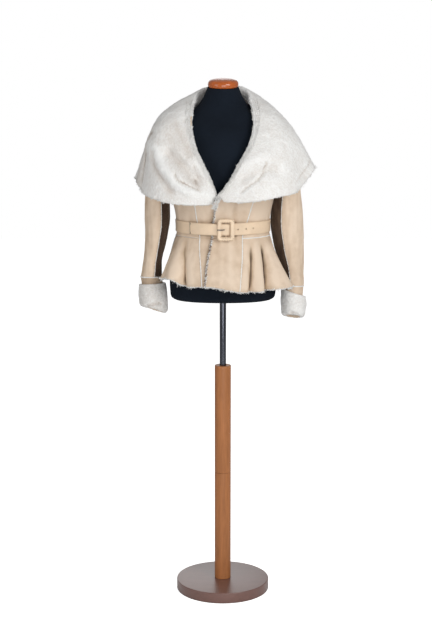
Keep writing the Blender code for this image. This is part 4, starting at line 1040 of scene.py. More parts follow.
def body_panel(name, rows, left, right, columns, lift=None):
    """A body panel between two seams, each a function of height that returns an angle."""
    z = rows[:, None]
    start, end = (left(rows) + seam_gap(rows))[:, None], (right(rows) - seam_gap(rows))[:, None]
    angle = start + (end - start) * spread(columns)[None]
    extra = lift(angle, z) if lift else np.zeros_like(angle)
    outer, inner = jacket_point(angle, z, WALL + extra), jacket_point(angle, z, extra)
    out = grid_normals(outer)
    outer = rumpled(outer, out, 1.0, BODY_FOLDS)
    inner, curl = fleeced(rumpled(inner, out, 1.0, BODY_FOLDS), -out, INNER_CURLS, 4.0)
    # Painted shade in the hollows, beside the seams, along the flutes' troughs, at the hip, below
    # and above the belt and beside the lap; painted light over the bust.
    shade = np.minimum(0.9 * hollow(outer, out, 15, 0.0028), 0.45)
    shade = shade + 0.7 * near_seams(outer, 0.0018)
    shade = shade + troughs(angle, z) + strap_shadow(z) + lap_shadow(angle, z)
    shade = shade - 0.25 * ease_in(z, *BUST_LIGHT_Z)
    skin_piece(name, outer, inner, "suede", curl, shade)
    return outer, inner, out


def troughs(angle, z):
    """Painted shade along the troughs of the peplum's flutes, and a broad painted shadow over the
    wearer's left hip.
    """
    share = peplum_share(z)
    tone = np.zeros(np.broadcast(angle, z).shape)
    for waist_angle, hem_angle, depth, width in FOLDS:
        if depth < 0:
            away = wrap(angle - (waist_angle + (hem_angle - waist_angle) * share))
            tone = tone - depth * 15.0 * np.minimum(share * 4.0, 1.0) * bell(away, width)
    middle, width = HIP_SHADOW
    return tone + 0.25 * np.minimum(share * 3.0, 1.0) * bell(angle - middle, width)


def strap_shadow(z):
    """Painted shadow just below the belt, and a little above it."""
    low, high = BELT_Z - BELT_HEIGHT / 2, BELT_Z + BELT_HEIGHT / 2
    return 0.45 * bell(z - low + 0.001, 0.0032) + 0.25 * bell(z - high - 0.001, 0.0024)


def lap_shadow(angle, z):
    """Painted shadow on the right front beside the left front's edge, which lies over it."""
    away = read(SEAMS, "opening", z) - angle
    deep = (0.18 + 0.42 * ease_in(z, *LAP_SHADOW_Z)) * (z < V_POINT_Z + 0.02)
    return np.where(away > 0.0, deep * bell(away, 5.0), 0.0)


def seam_at(column):
    """A seam's angle as a function of height."""
    return lambda z: read(SEAMS, column, z)


def side_line(side, turn=0.0):
    """The side seam's angle as a function of height: round the armhole's near half.

    A turn of 180 and the other side give the armhole's far half.
    """
    return lambda z: turn + side * (SIDE_ANGLE - armhole_gap(z))


def front_outer_edge(princess, side):
    """A centre front's side edge: the princess seam, then the armhole and the shoulder seam."""
    def edge(z):
        low = read(SEAMS, princess, z)
        high = side_line(side)(np.maximum(z, ARMHOLE_Z))
        share = np.clip((z - PRINCESS_TOP) / (ARMHOLE_Z - PRINCESS_TOP), 0.0, 1.0)
        base = read(SEAMS, princess, np.full_like(z, PRINCESS_TOP))
        return np.where(z <= PRINCESS_TOP, low, base + (high - base) * share)
    return edge


def left_front_edge(z):
    """The left front's inner edge: the opening, then the neckline."""
    return np.where(z < V_POINT_Z, read(SEAMS, "opening", z),
                    neckline(COLLAR_LEFT, np.maximum(z, V_POINT_Z)))


def right_front_edge(z):
    """The right front's inner edge: straight under the left front, then the neckline."""
    neck = -neckline(COLLAR_RIGHT, np.maximum(z, V_POINT_Z))
    share = np.clip((z - UNDERLAP_TOP_Z) / (V_POINT_Z - UNDERLAP_TOP_Z), 0.0, 1.0)
    return np.where(z < V_POINT_Z, UNDERLAP_ANGLE + (neck - UNDERLAP_ANGLE) * share, neck)


def wool_edge(name, edges, seed, reach=1.0, layers=4, brown=0.0, thick=0.0011):
    """Locks of wool along raw edges, each edge as (line, ways, lifts) of points and directions."""
    fleece = bpy.context.scene.jacket_fleece
    roots, ways, lifts = [], [], []
    for edge in edges:
        for layer in range(layers):
            places = spaced(edge[0], fleece.fringe_spacing * (1.0 + 0.13 * layer))
            lean = (layer + 0.5) / layers
            at, way, up = (at_places(values, places) for values in edge)
            roots.append(at - up * (0.0040 * (lean - 0.5)) - way * 0.0012)
            ways.append(way)
            lifts.append(up * (1.0 - 2.0 * lean * 0.6))
    roots = np.concatenate(roots)
    clumps = 0.85 + 0.75 * clouds(roots, 0.0085, seed)
    mesh = locks(name, roots, np.concatenate(ways), np.concatenate(lifts),
                 (fleece.fringe_length * reach * clumps)[:, None], thick, seed, brown=brown)
    new_piece(name, mesh)


def wool_rows(name, lines, seed, reach=0.0021, rows=2, step=0.0011, brown=0.0, thick=0.0008,
              spacing=1.6):
    """Short wool standing out of seams, each as (line, outward directions) on a face."""
    gap = bpy.context.scene.jacket_fleece.fringe_spacing * spacing
    roots, ways, lifts = [], [], []
    for line, outward in lines:
        across = unit(np.cross(np.gradient(line, axis=0), outward))
        for row in range(rows):
            places = spaced(line, gap * (1.0 + 0.1 * row))
            aside = row - (rows - 1) / 2
            side = at_places(across, places)
            roots.append(at_places(line, places) + side * aside * step)
            ways.append(at_places(outward, places) + side * aside * 1.1)
            lifts.append(side)
    mesh = locks(name, *(np.concatenate(part) for part in (roots, ways, lifts)), reach, thick,
                 seed, 3, brown)
    new_piece(name, mesh)


def wool_ridge(name, lines, seed, wide=0.0017, tall=0.0016, brown=0.04):
    """Low woolly ridges along seams, each as (line, outward directions), with sparse locks."""
    shares = np.linspace(-1.0, 1.0, 7)
    points, faces, heights = [], [], []
    count = 0
    for line, outward in lines:
        places = spaced(line, 0.0011)
        at, up = at_places(line, places), at_places(outward, places)
        side = unit(np.cross(np.gradient(at, axis=0), up))
        uneven = 1.0 + 0.35 * clouds(at, 0.006, seed)[:, None]
        profile = np.sqrt(1.0 - shares**2)[None] * uneven - 0.15
        grid = (at[:, None] + side[:, None] * (shares[None] * wide * uneven)[..., None]
                + up[:, None] * (profile * tall)[..., None])
        curl = curls(grid, 0.0024, seed + 5.0)
        grid = grid + up[:, None] * (curl * 0.0006 * profile)[..., None]
        points.append(grid.reshape(-1, 3))
        faces.append(strips(*grid.shape[:2], False) + count)
        # Lower curl values between the curls paint the ridge in shade there.
        heights.append(0.45 + 0.55 * curl.ravel())
        count += len(points[-1])
    mesh = mesh_from(name, np.concatenate(points), np.concatenate(faces), [material("raw wool")],
                     curl=np.concatenate(heights))
    new_piece(name, mesh)
    wool_rows(name + "_locks", lines, seed + 1, brown=brown)


def edge_of(outer, inner, out, which):
    """The raw edge of a panel as a line with its outward ways and its lifts."""
    faces = [outer, inner, out]
    if which != "low":
        faces = [face.swapaxes(0, 1) for face in faces]
    middle = (faces[0] + faces[1]) / 2
    here, behind = (-1, -2) if which == "right" else (0, 1)
    return middle[here], unit(middle[here] - middle[behind]), faces[2][here]


def hem_wool(name, panels, seed):
    """The wool along the lower edges of some panels."""
    wool_edge(name, [edge_of(*panel, "low") for panel in panels], seed, reach=1.45, brown=0.02,
              thick=0.0014)


def build_fronts():
    """Both centre fronts, the wool of the opening and of the princess seams."""
    rows = np.concatenate([PEPLUM_ROWS, BODICE_ROWS])
    left = body_panel("front_left", rows, left_front_edge,
                      front_outer_edge("left_princess", 1), 36, lap)
    right = body_panel("front_right", rows, front_outer_edge("right_princess", -1),
                       right_front_edge, 34)
    line = between(FRONT_POINT, 30)
    outward = np.broadcast_to([0.0, -1.0, -0.15], line.shape)
    wool_rows("front_point_wool", [(line, outward)], 19, reach=0.0066, rows=4, step=0.0024,
              thick=0.0013, spacing=1.0)
    edge = edge_of(*left, "left")
    lap_rows = int(0.62 * (len(rows) - 1)) + 1
    wool_edge("opening_wool", [[part[:lap_rows] for part in edge]], 11, reach=0.8, brown=0.35)
    face = (left[0][:66, 0], left[2][:66, 0])
    wool_rows("opening_edge_wool", [face], 18, reach=0.0036, rows=3, step=0.0012, brown=0.35,
              thick=0.0011, spacing=0.9)
    seams = [(panel[0][:96, column], panel[2][:96, column])
             for panel, column in ((left, -1), (right, 0))]
    wool_ridge("princess_wool", seams, 12)
    hem_wool("front_hem_wool", [left, right], 16)


def build_sides():
    """Both side fronts, from the waist seam up to the armhole."""
    rows = np.linspace(WAIST_SEAM_Z, PRINCESS_TOP - 0.006, 58)
    body_panel("side_front_left", rows, seam_at("left_princess"), side_line(1), 30)
    body_panel("side_front_right", rows, side_line(-1), seam_at("right_princess"), 30)


def build_back():
    """The back, in one piece from the waist seam to the neck."""
    body_panel("back", BODICE_ROWS, side_line(-1, 180.0), side_line(1, 180.0), 96)


def build_peplum():
    """The flared peplum's three panels, with the wool of their seams and hem."""
    def at(angle):
        return lambda z: np.full_like(z, angle)

    left = body_panel("peplum_left", PEPLUM_ROWS, seam_at("left_princess"), at(SIDE_ANGLE), 60)
    right = body_panel("peplum_right", PEPLUM_ROWS, at(-SIDE_ANGLE), seam_at("right_princess"),
                       60)
    back = body_panel("peplum_back", PEPLUM_ROWS, at(SIDE_ANGLE), at(360.0 - SIDE_ANGLE), 130)
    seams = [(back[0][:, column], back[2][:, column]) for column in (0, -1)]
    seams += [(panel[0][-1], panel[2][-1]) for panel in (left, back)]
    wool_ridge("peplum_seam_wool", seams, 13)
    hem_wool("peplum_hem_wool", [left, right, back], 17)


# ---------------------------------------------------------------- the collar
def neck_edge(stations, side, station, offset):
    """Points of the body's neckline, at an offset from the bodice's inner face."""
    angle = neck_angle(stations, station)
    z = np.minimum(along(stations, "neck_z", station), NECK_SEAM_Z)
    raised = lap(angle, z) if side > 0 else 0.0
    return bodice_point(side * angle, z, offset + raised)


def sewn_edge(stations, side, station, offset):
    """The collar's own edge at the neck seam, a seam's gap away from the body's neckline."""
    near = neck_edge(stations, side, station, offset)
    ahead = neck_edge(stations, side, station + 0.05, offset)
    behind = neck_edge(stations, side, station - 0.05, offset)
    raised = neck_edge(stations, side, station, offset + 0.001)
    return near - unit(np.cross(ahead - behind, raised - near)) * side * SEAM * 3


def collar_points(stations, side, station, share):
    """Points in the collar's thickness: share 0 is the neck seam, 1 the outer edge."""
    station = np.asarray(station, float)
    neck = sewn_edge(stations, side, station, WALL / 2)
    angle = neck_angle(stations, station)
    z = np.minimum(along(stations, "neck_z", station), NECK_SEAM_Z)
    middle = bodice_point(side * angle, z, WALL / 2)
    inward = bodice_point(side * (angle - 2.0), z, WALL / 2) - middle
    upward = bodice_point(side * angle, z + 0.004, WALL / 2) - middle
    away = bodice_point(side * angle, z, WALL) - middle
    rise = ease_in(station, NECK_POINT_STATION - 0.8, NECK_POINT_STATION)[..., None]
    toward = unit(unit(inward) * (1 - rise) + unit(upward) * rise
                  + unit(away) * 0.35 * (1 + rise))
    start = neck + toward * COLLAR_WALL * (0.3 + 0.5 * ease_in(station, 0.0, 1.0)[..., None])
    keys = [0.0, 0.05, ROLL_SHARE, OVER_SHARE, 1.0]
    points = [neck, start]
    for word in ("roll", "over", "edge"):
        x, y, z = (along(stations, f"{word}_{axis}", station) for axis in "xyz")
        points.append(point(x * side, y, z))
    return spline(points, keys, share)


def spline(points, keys, at):
    """Smooth curves through a few points at given keys."""
    at = np.asarray(at, float)[..., None]
    last = len(keys) - 1
    nearby = [(max(k - 1, 0), min(k + 1, last)) for k in range(last + 1)]
    slopes = [(points[high] - points[low]) / (keys[high] - keys[low]) for low, high in nearby]
    result = 0.0
    for i in range(last):
        span = keys[i + 1] - keys[i]
        piece = hermite((at - keys[i]) / span, span, points[i], points[i + 1], slopes[i],
                        slopes[i + 1])
        inside = (at >= keys[i]) & ((at < keys[i + 1]) | (i == last - 1))
        result = result + np.where(inside, piece, 0.0)
    return result


def strokes(grid, paths):
    """The sum of soft strokes over a surface, each as (points, amount, width)."""
    total = np.zeros(grid.shape[:2])
    for path, amount, width in paths:
        gaps = np.full(grid.shape[:2], 1e9)
        for at in path:
            gaps = np.minimum(gaps, np.linalg.norm(grid - at, axis=2))
        total += amount * bell(gaps, width)
    return total


def pushed(grid, out, paths):
    """A surface pushed out or in along creases, each as (points, height, width)."""
    return grid + out * strokes(grid, paths)[..., None]


def between(points, count=48):
    """Evenly numbered points along a line of straight stretches."""
    points = np.asarray(points, float)
    at = np.linspace(0.0, len(points) - 1.0, count)
    return np.stack([np.interp(at, np.arange(len(points)), row) for row in points.T], axis=1)


def nearest_on(grid, path):
    """The points of a grid that lie nearest to the points of a path."""
    flat = grid.reshape(-1, 3)
    return np.array([flat[((flat - at) ** 2).sum(axis=1).argmin()] for at in path])


def build_collar(word, stations, side, creases, lines):
    """Half of the collar, from the front point to the centre back seam."""
    name = "collar_" + word
    numbers = np.linspace(0.0, len(stations["neck_z"]) - 1.0, 256)
    shares = np.concatenate([[0.0, 0.02], np.linspace(0.04, 1.0, 90)])
    grid = collar_points(stations, side, numbers[:, None], shares[None])
    out = grid_normals(grid) * side
    paths = []
    for station, share, end_station, end_share, height, width in creases:
        t = np.linspace(0, 1, 25)
        path = collar_points(stations, side, station + (end_station - station) * t,
                             share + (end_share - share) * t)
        paths.append((path, height, width))
    grid = pushed(grid, out, paths)
    pushes, tones = [], []
    for places, push, push_width, tone, tone_width in lines:
        path = nearest_on(grid, collar_points(stations, side, *between(places).T))
        pushes.append((path, push, push_width))
        tones.append((path, tone, tone_width))
    tone = strokes(grid, tones)
    grid = pushed(grid, out, pushes)
    out = grid_normals(grid) * side
    taper = ease_in(shares, 0.0, 0.08)[None]
    wave = (clouds(grid, 0.05, 21.0) * 0.0016 + clouds(grid, 0.02, 22.0) * 0.0006) * taper
    grid = grid + out * wave[..., None]
    woolly = grid + out * (COLLAR_WALL / 2 - FLEECE_SINK)
    bare = grid - out * COLLAR_WALL / 2
    woolly[:, 0] = sewn_edge(stations, side, numbers, 0.0)
    bare[:, 0] = sewn_edge(stations, side, numbers, WALL)
    height = bpy.context.scene.jacket_fleece.curl_height
    woolly, curl = fleeced(woolly, out, height, 31.0 + side, taper)
    for face in (woolly, bare):
        face[-1, :, 0] = side * SEAM
    # Painted shade in the hollows and along the lines, and painted highlights where a line's tone
    # is below 0.
    shade = np.minimum(0.55 * hollow(grid, out, 18, 0.0050), 0.20) + tone
    skin_piece(name, woolly, bare, "wool", curl, shade, bulge=0.0018)
    middle = (woolly + bare) / 2
    end = (middle[0, 8:], unit(middle[0, 8:] - middle[3, 8:]), out[0, 8:])
    wool_edge(name + "_wool", [edge_of(woolly, bare, out, "right"), end], 40 + side, reach=1.2,
              thick=0.0013)
    rows = [(woolly[2:180, k], out[2:180, k]) for k in range(8, 24, 3)]
    wool_rows(name + "_curls", rows, 45 + side, reach=0.0042, rows=1, thick=0.0013, spacing=1.5)


# ---------------------------------------------------------------- the sleeves
def sleeve_ring(rows, side, at, step):
    """Points of a sleeve at row numbers; step 0 faces away from the body, then the front."""
    turn = np.radians(np.asarray(step, float) * 360.0 / RING_STEPS)
    get = {name: along(rows, name, at) for name in SLEEVE_COLUMNS.split()}
    cos, sin = np.cos(turn), np.sin(turn)
    x = (get["outer_x"] + get["inner_x"]) / 2 + (get["outer_x"] - get["inner_x"]) / 2 * cos
    z = (get["outer_z"] + get["inner_z"]) / 2 + (get["outer_z"] - get["inner_z"]) / 2 * cos
    return point(x * side, get["mid_y"] - get["half_depth"] * sin, z + get["front_rise"] * sin)


def armhole_ring(side, step, shrink, offset=WALL + 1.5 * CLEAR):
    """Points of the sleeve's top ring, which is sewn onto the armhole."""
    turn = np.radians(np.asarray(step, float) * 360.0 / RING_STEPS)
    rise = ARMHOLE_RISE - shrink
    spread = ARMHOLE_SPREAD * rise / ARMHOLE_RISE
    return bodice_point(side * (SIDE_ANGLE - spread * np.sin(turn)),
                        ARMHOLE_Z + rise * np.cos(turn), offset)


def off_sleeve(rows, side, at, step, offset):
    """Points off a sleeve's outline, measured along its own outward normal."""
    at, step, offset = np.broadcast_arrays(*[np.asarray(v, float) for v in (at, step, offset)])
    about = sleeve_ring(rows, side, at, step + 0.5) - sleeve_ring(rows, side, at, step - 0.5)
    ahead = sleeve_ring(rows, side, at + 0.2, step) - sleeve_ring(rows, side, at - 0.2, step)
    here = sleeve_ring(rows, side, at, step)
    out = unit(np.cross(about, ahead)) * side
    out[..., 2] *= ease_in(here[..., 2], WRIST_LEVEL_Z, WRIST_LEVEL_Z + 0.06)
    return here + unit(out) * offset[..., None]


def sleeve_grids(rows, side, start_step, end_step, columns):
    """The outer and inner face of a stretch of sleeve, from the armhole down."""
    steps = start_step + (end_step - start_step) * spread(columns)
    places = np.linspace(0.0, len(rows["outer_x"]) - 1.0, 118)[:, None]
    faces = []
    for depth, shrink in ((0.0, 0.0), (-WALL, WALL)):
        tube = off_sleeve(rows, side, places, steps[None], depth)
        head = armhole_ring(side, steps, shrink)
        join = np.linspace(0, 1, 7)[:-1, None, None]
        faces.append(np.concatenate([head + (tube[0] - head) * join, tube]))
    return faces


def build_sleeve(word, rows, wrist, reach_slant, side):
    """One sleeve: the upper and under pieces, the band below the wrist seam and the cuff."""
    seams = []
    pieces = [("sleeve_upper_" + word, BACK_SEAM_STEP - RING_STEPS, FRONT_SEAM_STEP, 62),
              ("sleeve_under_" + word, FRONT_SEAM_STEP, BACK_SEAM_STEP, 38)]
    for name, start, end, columns in pieces:
        outer, inner = sleeve_grids(rows, side, start, end, columns)
        for face in (outer, inner):
            for near, far in ((0, 1), (-1, -2)):
                face[:, near] += unit(face[:, far] - face[:, near]) * SEAM
        out = grid_normals(outer) * side
        outer = rumpled(outer, out, 50.0, SLEEVE_FOLDS)
        inner, curl = fleeced(rumpled(inner, out, 50.0, SLEEVE_FOLDS), -out,
                              SLEEVE_INNER_CURLS, 51.0)
        # Painted shade in the hollows and beside the seams; the upright streaks are random tone of
        # the nap.
        shade = 0.5 * hollow(outer, out, 12, 0.0020) + 0.8 * near_seams(outer, 0.0022)
        upright = clouds(outer * np.array([1.0, 1.0, 0.12]), 0.012, 57.0)
        shade = shade + 0.30 * np.clip(upright - 0.05, 0.0, 1.0)
        # Painted shade on the right sleeve's outer side, which faces away from the light.
        if side < 0:
            shade = shade + 0.35 * ease_in(-out[..., 0], 0.72, 0.98)
        # Painted shade on the under-sleeve, deeper towards the front and where it faces the body.
        if "under" in name:
            ahead = 1.0 - ease_in(np.linspace(0, 1, outer.shape[1]), 0.35, 1.0)[None]
            inward = ease_in(-side * out[..., 0], 0.2, 0.8)
            dark = UNDER_ARM_SHADE[side] + 0.5 * ahead
            shade = shade * 0.2 + dark * (0.85 + 0.15 * inward)
        else:
            seams = [(outer[:, k], out[:, k]) for k in (0, -1)]
        skin_piece(name, outer, inner, "suede", curl, shade)
    wool_ridge("sleeve_wool_" + word, seams, 60 + side, wide=0.0010, tall=0.0010, brown=0.45)
    name = "wrist_band_" + word
    steps = np.linspace(0.0, RING_STEPS, 81)[:-1]
    bands = np.linspace(0.0, (len(wrist["outer_x"]) - 1.0) * BAND_END, 26)[:, None]
    outer, inner = (off_sleeve(wrist, side, bands, steps[None], off) for off in (0.0, -WALL))
    out = grid_normals(outer, True) * side
    inner, curl = fleeced(inner, -out, BAND_INNER_CURLS, 52.0)
    # Painted shade, even over the whole band.
    tone = np.full(outer.shape[:2], BAND_SHADE[side])
    skin_piece(name, rumpled(outer, out, 53.0), inner, "suede", curl, tone, True)
    build_cuff(word, wrist, reach_slant, side)
    wool_ridge("wrist_wool_" + word, [(ring_of(outer), ring_of(out))], 70 + side, wide=0.0019)


def build_cuff(word, wrist, reach_slant, side):
    """The turned-back end of a sleeve: up over the band, and round under its lower end."""
    name = "cuff_" + word
    reach, slant = reach_slant
    low = len(wrist["outer_x"]) - 1.0
    end = low * BAND_END
    steps = np.linspace(0.0, RING_STEPS, 101)[:-1]
    keys = [0.0, 0.4, 1.03, 1.06, 1.6, 2.0]
    base = [CLEAR, CLEAR, CLEAR, -WALL, -WALL, -0.5 * WALL]
    thick = CUFF_WALL * np.array([0.8, 1.1, 1.0, 0.95, 0.7, 0.2])
    shares = np.concatenate([np.linspace(0.0, 1.0, 34), np.linspace(1.01, 1.09, 5),
                             np.linspace(1.12, 2.0, 16)])
    outside = 0.5 + 0.5 * np.cos(2 * math.pi * steps / RING_STEPS)[None]
    top = low * (1 - reach + slant * outside)
    share = shares[:, None]
    at = top + (end - top) * np.minimum(share, 1.0) + (low - end) * np.maximum(share - 1.0, 0.0)
    full = np.interp(shares, keys, thick)[:, None]
    outer = off_sleeve(wrist, side, at, steps[None], CLEAR + full)
    inner = off_sleeve(wrist, side, at, steps[None], np.interp(shares, keys, base)[:, None])
    out = grid_normals(outer, True) * side
    outer = outer + out * (clouds(outer, 0.03, 81.0) * 0.0014)[..., None]
    lines = [between(line) for line in CUFF_LINES[word]]
    outer = pushed(outer, out, [(nearest_on(outer, line), -0.006, 0.005) for line in lines])
    # Painted shadow along the folded-in lines, and painted shade for each side.
    tone = strokes(outer, [(nearest_on(outer, line), 0.4, 0.0036) for line in lines])
    tone = tone + CUFF_SHADE[side]
    height = bpy.context.scene.jacket_fleece.curl_height
    outer, curl = fleeced(outer, out, height, 82.0 + side)
    skin_piece(name, outer, inner, "wool", curl, tone, True, 0.0015)
    ring, outward = ring_of(outer), ring_of(out)
    up = np.broadcast_to([0.0, 0.0, 1.0], ring.shape)
    wool_edge(name + "_wool", [(ring - outward * 0.003, up, outward)], 90 + side, reach=0.7,
              layers=3)


# ---------------------------------------------------------------- belt and buckle
def waist_face(angle):
    """How far the jacket's outer face stands off the bodice's inner face at the waist."""
    near = wrap(angle)
    step = (WALL + 2 * CLEAR) * ease_in(near, -52.0, -14.0)
    return WALL + step * (1 - ease_in(near, UNDERLAP_ANGLE + 1.5, LAP_END_ANGLE))


def belt_layer(gone):
    """The belt's offset from the bodice, by the angle that it has gone round from the bar."""
    angle = BELT_START - gone
    held = BAR_ROOM * (1 - ease_in(np.abs(wrap(angle) - BUCKLE_ANGLE), 8.0, 26.0))
    return (waist_face(angle) + held + CLEAR
            + (BELT_THICKNESS + CLEAR) * ease_in(gone, 316.0, 340.0))


def strap_point(gone, across, offset):
    """A point on the strap: across runs from -1 at its lower edge to 1 at its upper edge."""
    near_tip = np.clip((BELT_LENGTH_ANGLE - gone) / TIP_ROUND, 0.0, 1.0)
    half = BELT_HEIGHT / 2 * (0.55 + 0.45 * np.sqrt(1 - (1 - near_tip) ** 2))
    return bodice_point(BELT_START - gone, BELT_Z + half * across, belt_layer(gone) + offset)


def build_belt():
    """One strap, from the buckle's bar round the back and over its own start to the tip."""
    total = BELT_LENGTH_ANGLE
    gone = np.concatenate([np.linspace(0.0, total - TIP_ROUND, 330),
                           total - TIP_ROUND * (1 - np.linspace(0, 1, 15)[1:]) ** 1.5])[:, None]
    edge = 1 - 0.055
    across = np.concatenate([[-1.0, -0.985, -edge], np.linspace(-0.85, 0.85, 9),
                             [edge, 0.985, 1.0]])[None]
    crown = 0.0007 * (1 - np.minimum(np.abs(across) / edge, 1.0) ** 4)
    round_off = np.where(np.abs(across) > edge, (np.abs(across) - edge) / (1 - edge), 0.0)
    outer = strap_point(gone, across, BELT_THICKNESS * (0.86 - 0.35 * round_off) + crown)
    inner = strap_point(gone, across, BELT_THICKNESS * 0.25 * round_off)
    under, tip = gone - (total - 360.0), total - gone
    # Painted shadow on the layer beside the tip and a painted highlight on the tip; the strap's
    # edges are darker.
    tone = 0.9 * bell(under - 0.9, 0.9) * (np.abs(across) < 0.9)
    tone = tone + 0.35 * bell(under - 2.2, 1.6) - 0.8 * bell(tip - 0.8, 0.9)
    tone = tone + 0.30 * ease_in(np.abs(across), 0.86, 0.97)
    mesh = shell("belt", outer, inner, [material("strap leather")] * 3, bulge=0.0002, shade=tone)
    belt = new_piece("belt_strap", mesh, ["belt"])
    for hole in BELT_HOLES:
        punch(belt, hole)
    run = np.arange(4.0, total - TIP_ROUND, 1.75)
    ends = [np.stack([strap_point(run + more, side * 0.80, BELT_THICKNESS)
                      for more in (0.0, 1.05)], axis=1) for side in (-1, 1)]
    threads("belt_stitches", np.concatenate(ends), 0.0004)


def threads(name, ends, radius, uneven=0.0):
    """Short stitches between pairs of points; every other one is darker by uneven."""
    start, end = ends[:, 0], ends[:, 1]
    run = unit(end - start)
    out = unit(np.cross(run, np.broadcast_to([0.0, 0.0, 1.0], run.shape)))
    rise = np.cross(out, run)
    points = []
    for t, size in ((0.0, 0.35), (0.25, 1.0), (0.75, 1.0), (1.0, 0.35)):
        for turn in np.arange(4) * math.pi / 2:
            points.append(start + (end - start) * t
                          + radius * size * (out * math.cos(turn) + rise * math.sin(turn)))
    tones = np.where(np.arange(len(ends)) % 2, 0.0, uneven)
    mesh = mesh_from(name, np.stack(points, axis=1), rods(len(ends), 4),
                     [material("strap thread")], shade=np.repeat(tones, len(points)))
    new_piece(name, mesh)


def punch(belt, angle):
    """A round hole through the strap at an angle round the waist."""
    at = bodice_point(angle, BELT_Z, WALL)
    out = unit(bodice_point(angle, BELT_Z, 0.04) - at)
    points, faces = lathe([(0, 0), (HOLE_RADIUS, 0), (HOLE_RADIUS, 0.05), (0, 0.05)], 24)
    frame_of = Vector(out).to_track_quat("Z", "Y").to_matrix()
    turned = [frame_of @ Vector(p) + Vector(at) for p in points]
    cutter = bpy.data.objects.new("punch", mesh_from("punch", turned, faces,
                                                     [material("strap leather")]))
    bpy.context.scene.collection.objects.link(cutter)
    modifier = belt.modifiers.new("Hole", "BOOLEAN")
    modifier.operation = "DIFFERENCE"
    modifier.object = cutter
    bpy.context.view_layer.update()
    graph = bpy.context.evaluated_depsgraph_get()
    mesh = bpy.data.meshes.new_from_object(belt.evaluated_get(graph))
    belt.modifiers.clear()
    belt.data = mesh
    bpy.data.objects.remove(cutter)


def soft_box(name, low, high, corner):
    """A leather box with rounded edges."""
    low, high = np.array(low), np.array(high)
    half = (high - low) / 2 - corner
    turn = np.linspace(0, 2 * math.pi, 32, endpoint=False)[None]
    tilt = np.linspace(-math.pi / 2, math.pi / 2, 16)[:, None]
    way = point(np.cos(tilt) * np.cos(turn), np.cos(tilt) * np.sin(turn), np.sin(tilt))
    points = (low + high) / 2 + np.sign(np.round(way, 6)) * half + way * corner
    mesh = mesh_from(name, points, strips(tilt.size, turn.size, True), [material("strap leather")])
    new_piece(name, mesh)


def buckle_depths():
    """Where the frame's back lies in front of the strap, and where the bar lies behind it."""
    top_layer = WALL + 2 * CLEAR + WALL + BAR_ROOM + CLEAR + BELT_THICKNESS + CLEAR
    front = -float(bodice_point(BUCKLE_ANGLE, BELT_Z + BELT_HEIGHT / 2,
                                top_layer + BELT_THICKNESS)[1]) + CLEAR
    ends = np.array([-0.5, 0.5]) * BUCKLE_HEIGHT + BUCKLE_Z
    back = CLEAR - float(jacket_point(BUCKLE_ANGLE, ends, 2 * WALL + 2 * CLEAR)[:, 1].min())
    return front, back


def build_buckle():
    """A leather-covered frame over the strap, its bar behind it, and the steel prong."""
    front, back = buckle_depths()
    thick, wide = BUCKLE_THICKNESS, BUCKLE_BAR
    outline, hole = rounded_rectangle(0.0, 0.009), rounded_rectangle(wide, 0.0036)
    # The frame's section: how far across from the outline to the hole, and how far forward.
    section = [(0.0, 0.15), (0.0, 0.6), (0.04, 0.85), (0.12, 0.98), (0.3, 1.06), (0.5, 1.08),
               (0.7, 1.06), (0.88, 0.98), (0.96, 0.85), (1.0, 0.6), (1.0, 0.15), (0.94, 0.0),
               (0.06, 0.0)]
    rings = []
    for blend, depth in section:
        x, z = (outline + (hole - outline) * blend).T
        rings.append(point(x, -front - thick * depth, z))
    quads = strips(len(section) + 1, len(outline), True) % (len(section) * len(outline))
    mesh = mesh_from("buckle_frame", rings, quads, [material("strap leather")])
    new_piece("buckle_cover", mesh, ["buckle_frame"])
    low, high = BUCKLE_Z - BUCKLE_HEIGHT / 2 + BAR_INSET, BUCKLE_Z + BUCKLE_HEIGHT / 2 - BAR_INSET
    room = BELT_HEIGHT / 2 + CLEAR
    for part, z_low, z_high, depth in (("bar", low, high, back),
                                       ("post_low", low, BELT_Z - room, front + 0.002),
                                       ("post_high", BELT_Z + room, high, front + 0.002)):
        soft_box("buckle_" + part,
                 (BUCKLE_X - BAR_WIDTH / 2, min(-back - 0.0022, -depth), z_low),
                 (BUCKLE_X + BAR_WIDTH / 2, -back, z_high), 0.0009)
    ends = []
    for inset, radius in ((0.0024, 0.006), (wide - 0.0022, 0.004)):
        line = rounded_rectangle(inset, radius, 40)
        x, z = np.concatenate([line, line[:1]]).T
        path = point(x, -front - thick * 1.03, z)
        near = at_places(path, spaced(path, 0.0024)[:-1])
        far = near + (np.roll(near, -1, axis=0) - near) * 0.62
        ends.append(np.stack([near, far], axis=1))
    threads("buckle_stitches", np.concatenate(ends), 0.0008, uneven=0.9)
    build_prong(front - CLEAR + 0.0004, front + thick + 0.0006)


def rounded_rectangle(inset, radius, steps=9):
    """The buckle's outline in x and z, moved in by an inset."""
    half_width, half_height = BUCKLE_WIDTH / 2 - inset, BUCKLE_HEIGHT / 2 - inset
    rows = []
    for side_x, side_z, start in ((1, 1, 0), (-1, 1, 90), (-1, -1, 180), (1, -1, 270)):
        for turn in np.radians(start + 90 * np.linspace(0, 1, steps)):
            rows.append((BUCKLE_X + side_x * (half_width - radius) + radius * math.cos(turn),
                         BUCKLE_Z + side_z * (half_height - radius) + radius * math.sin(turn)))
    return np.array(rows)


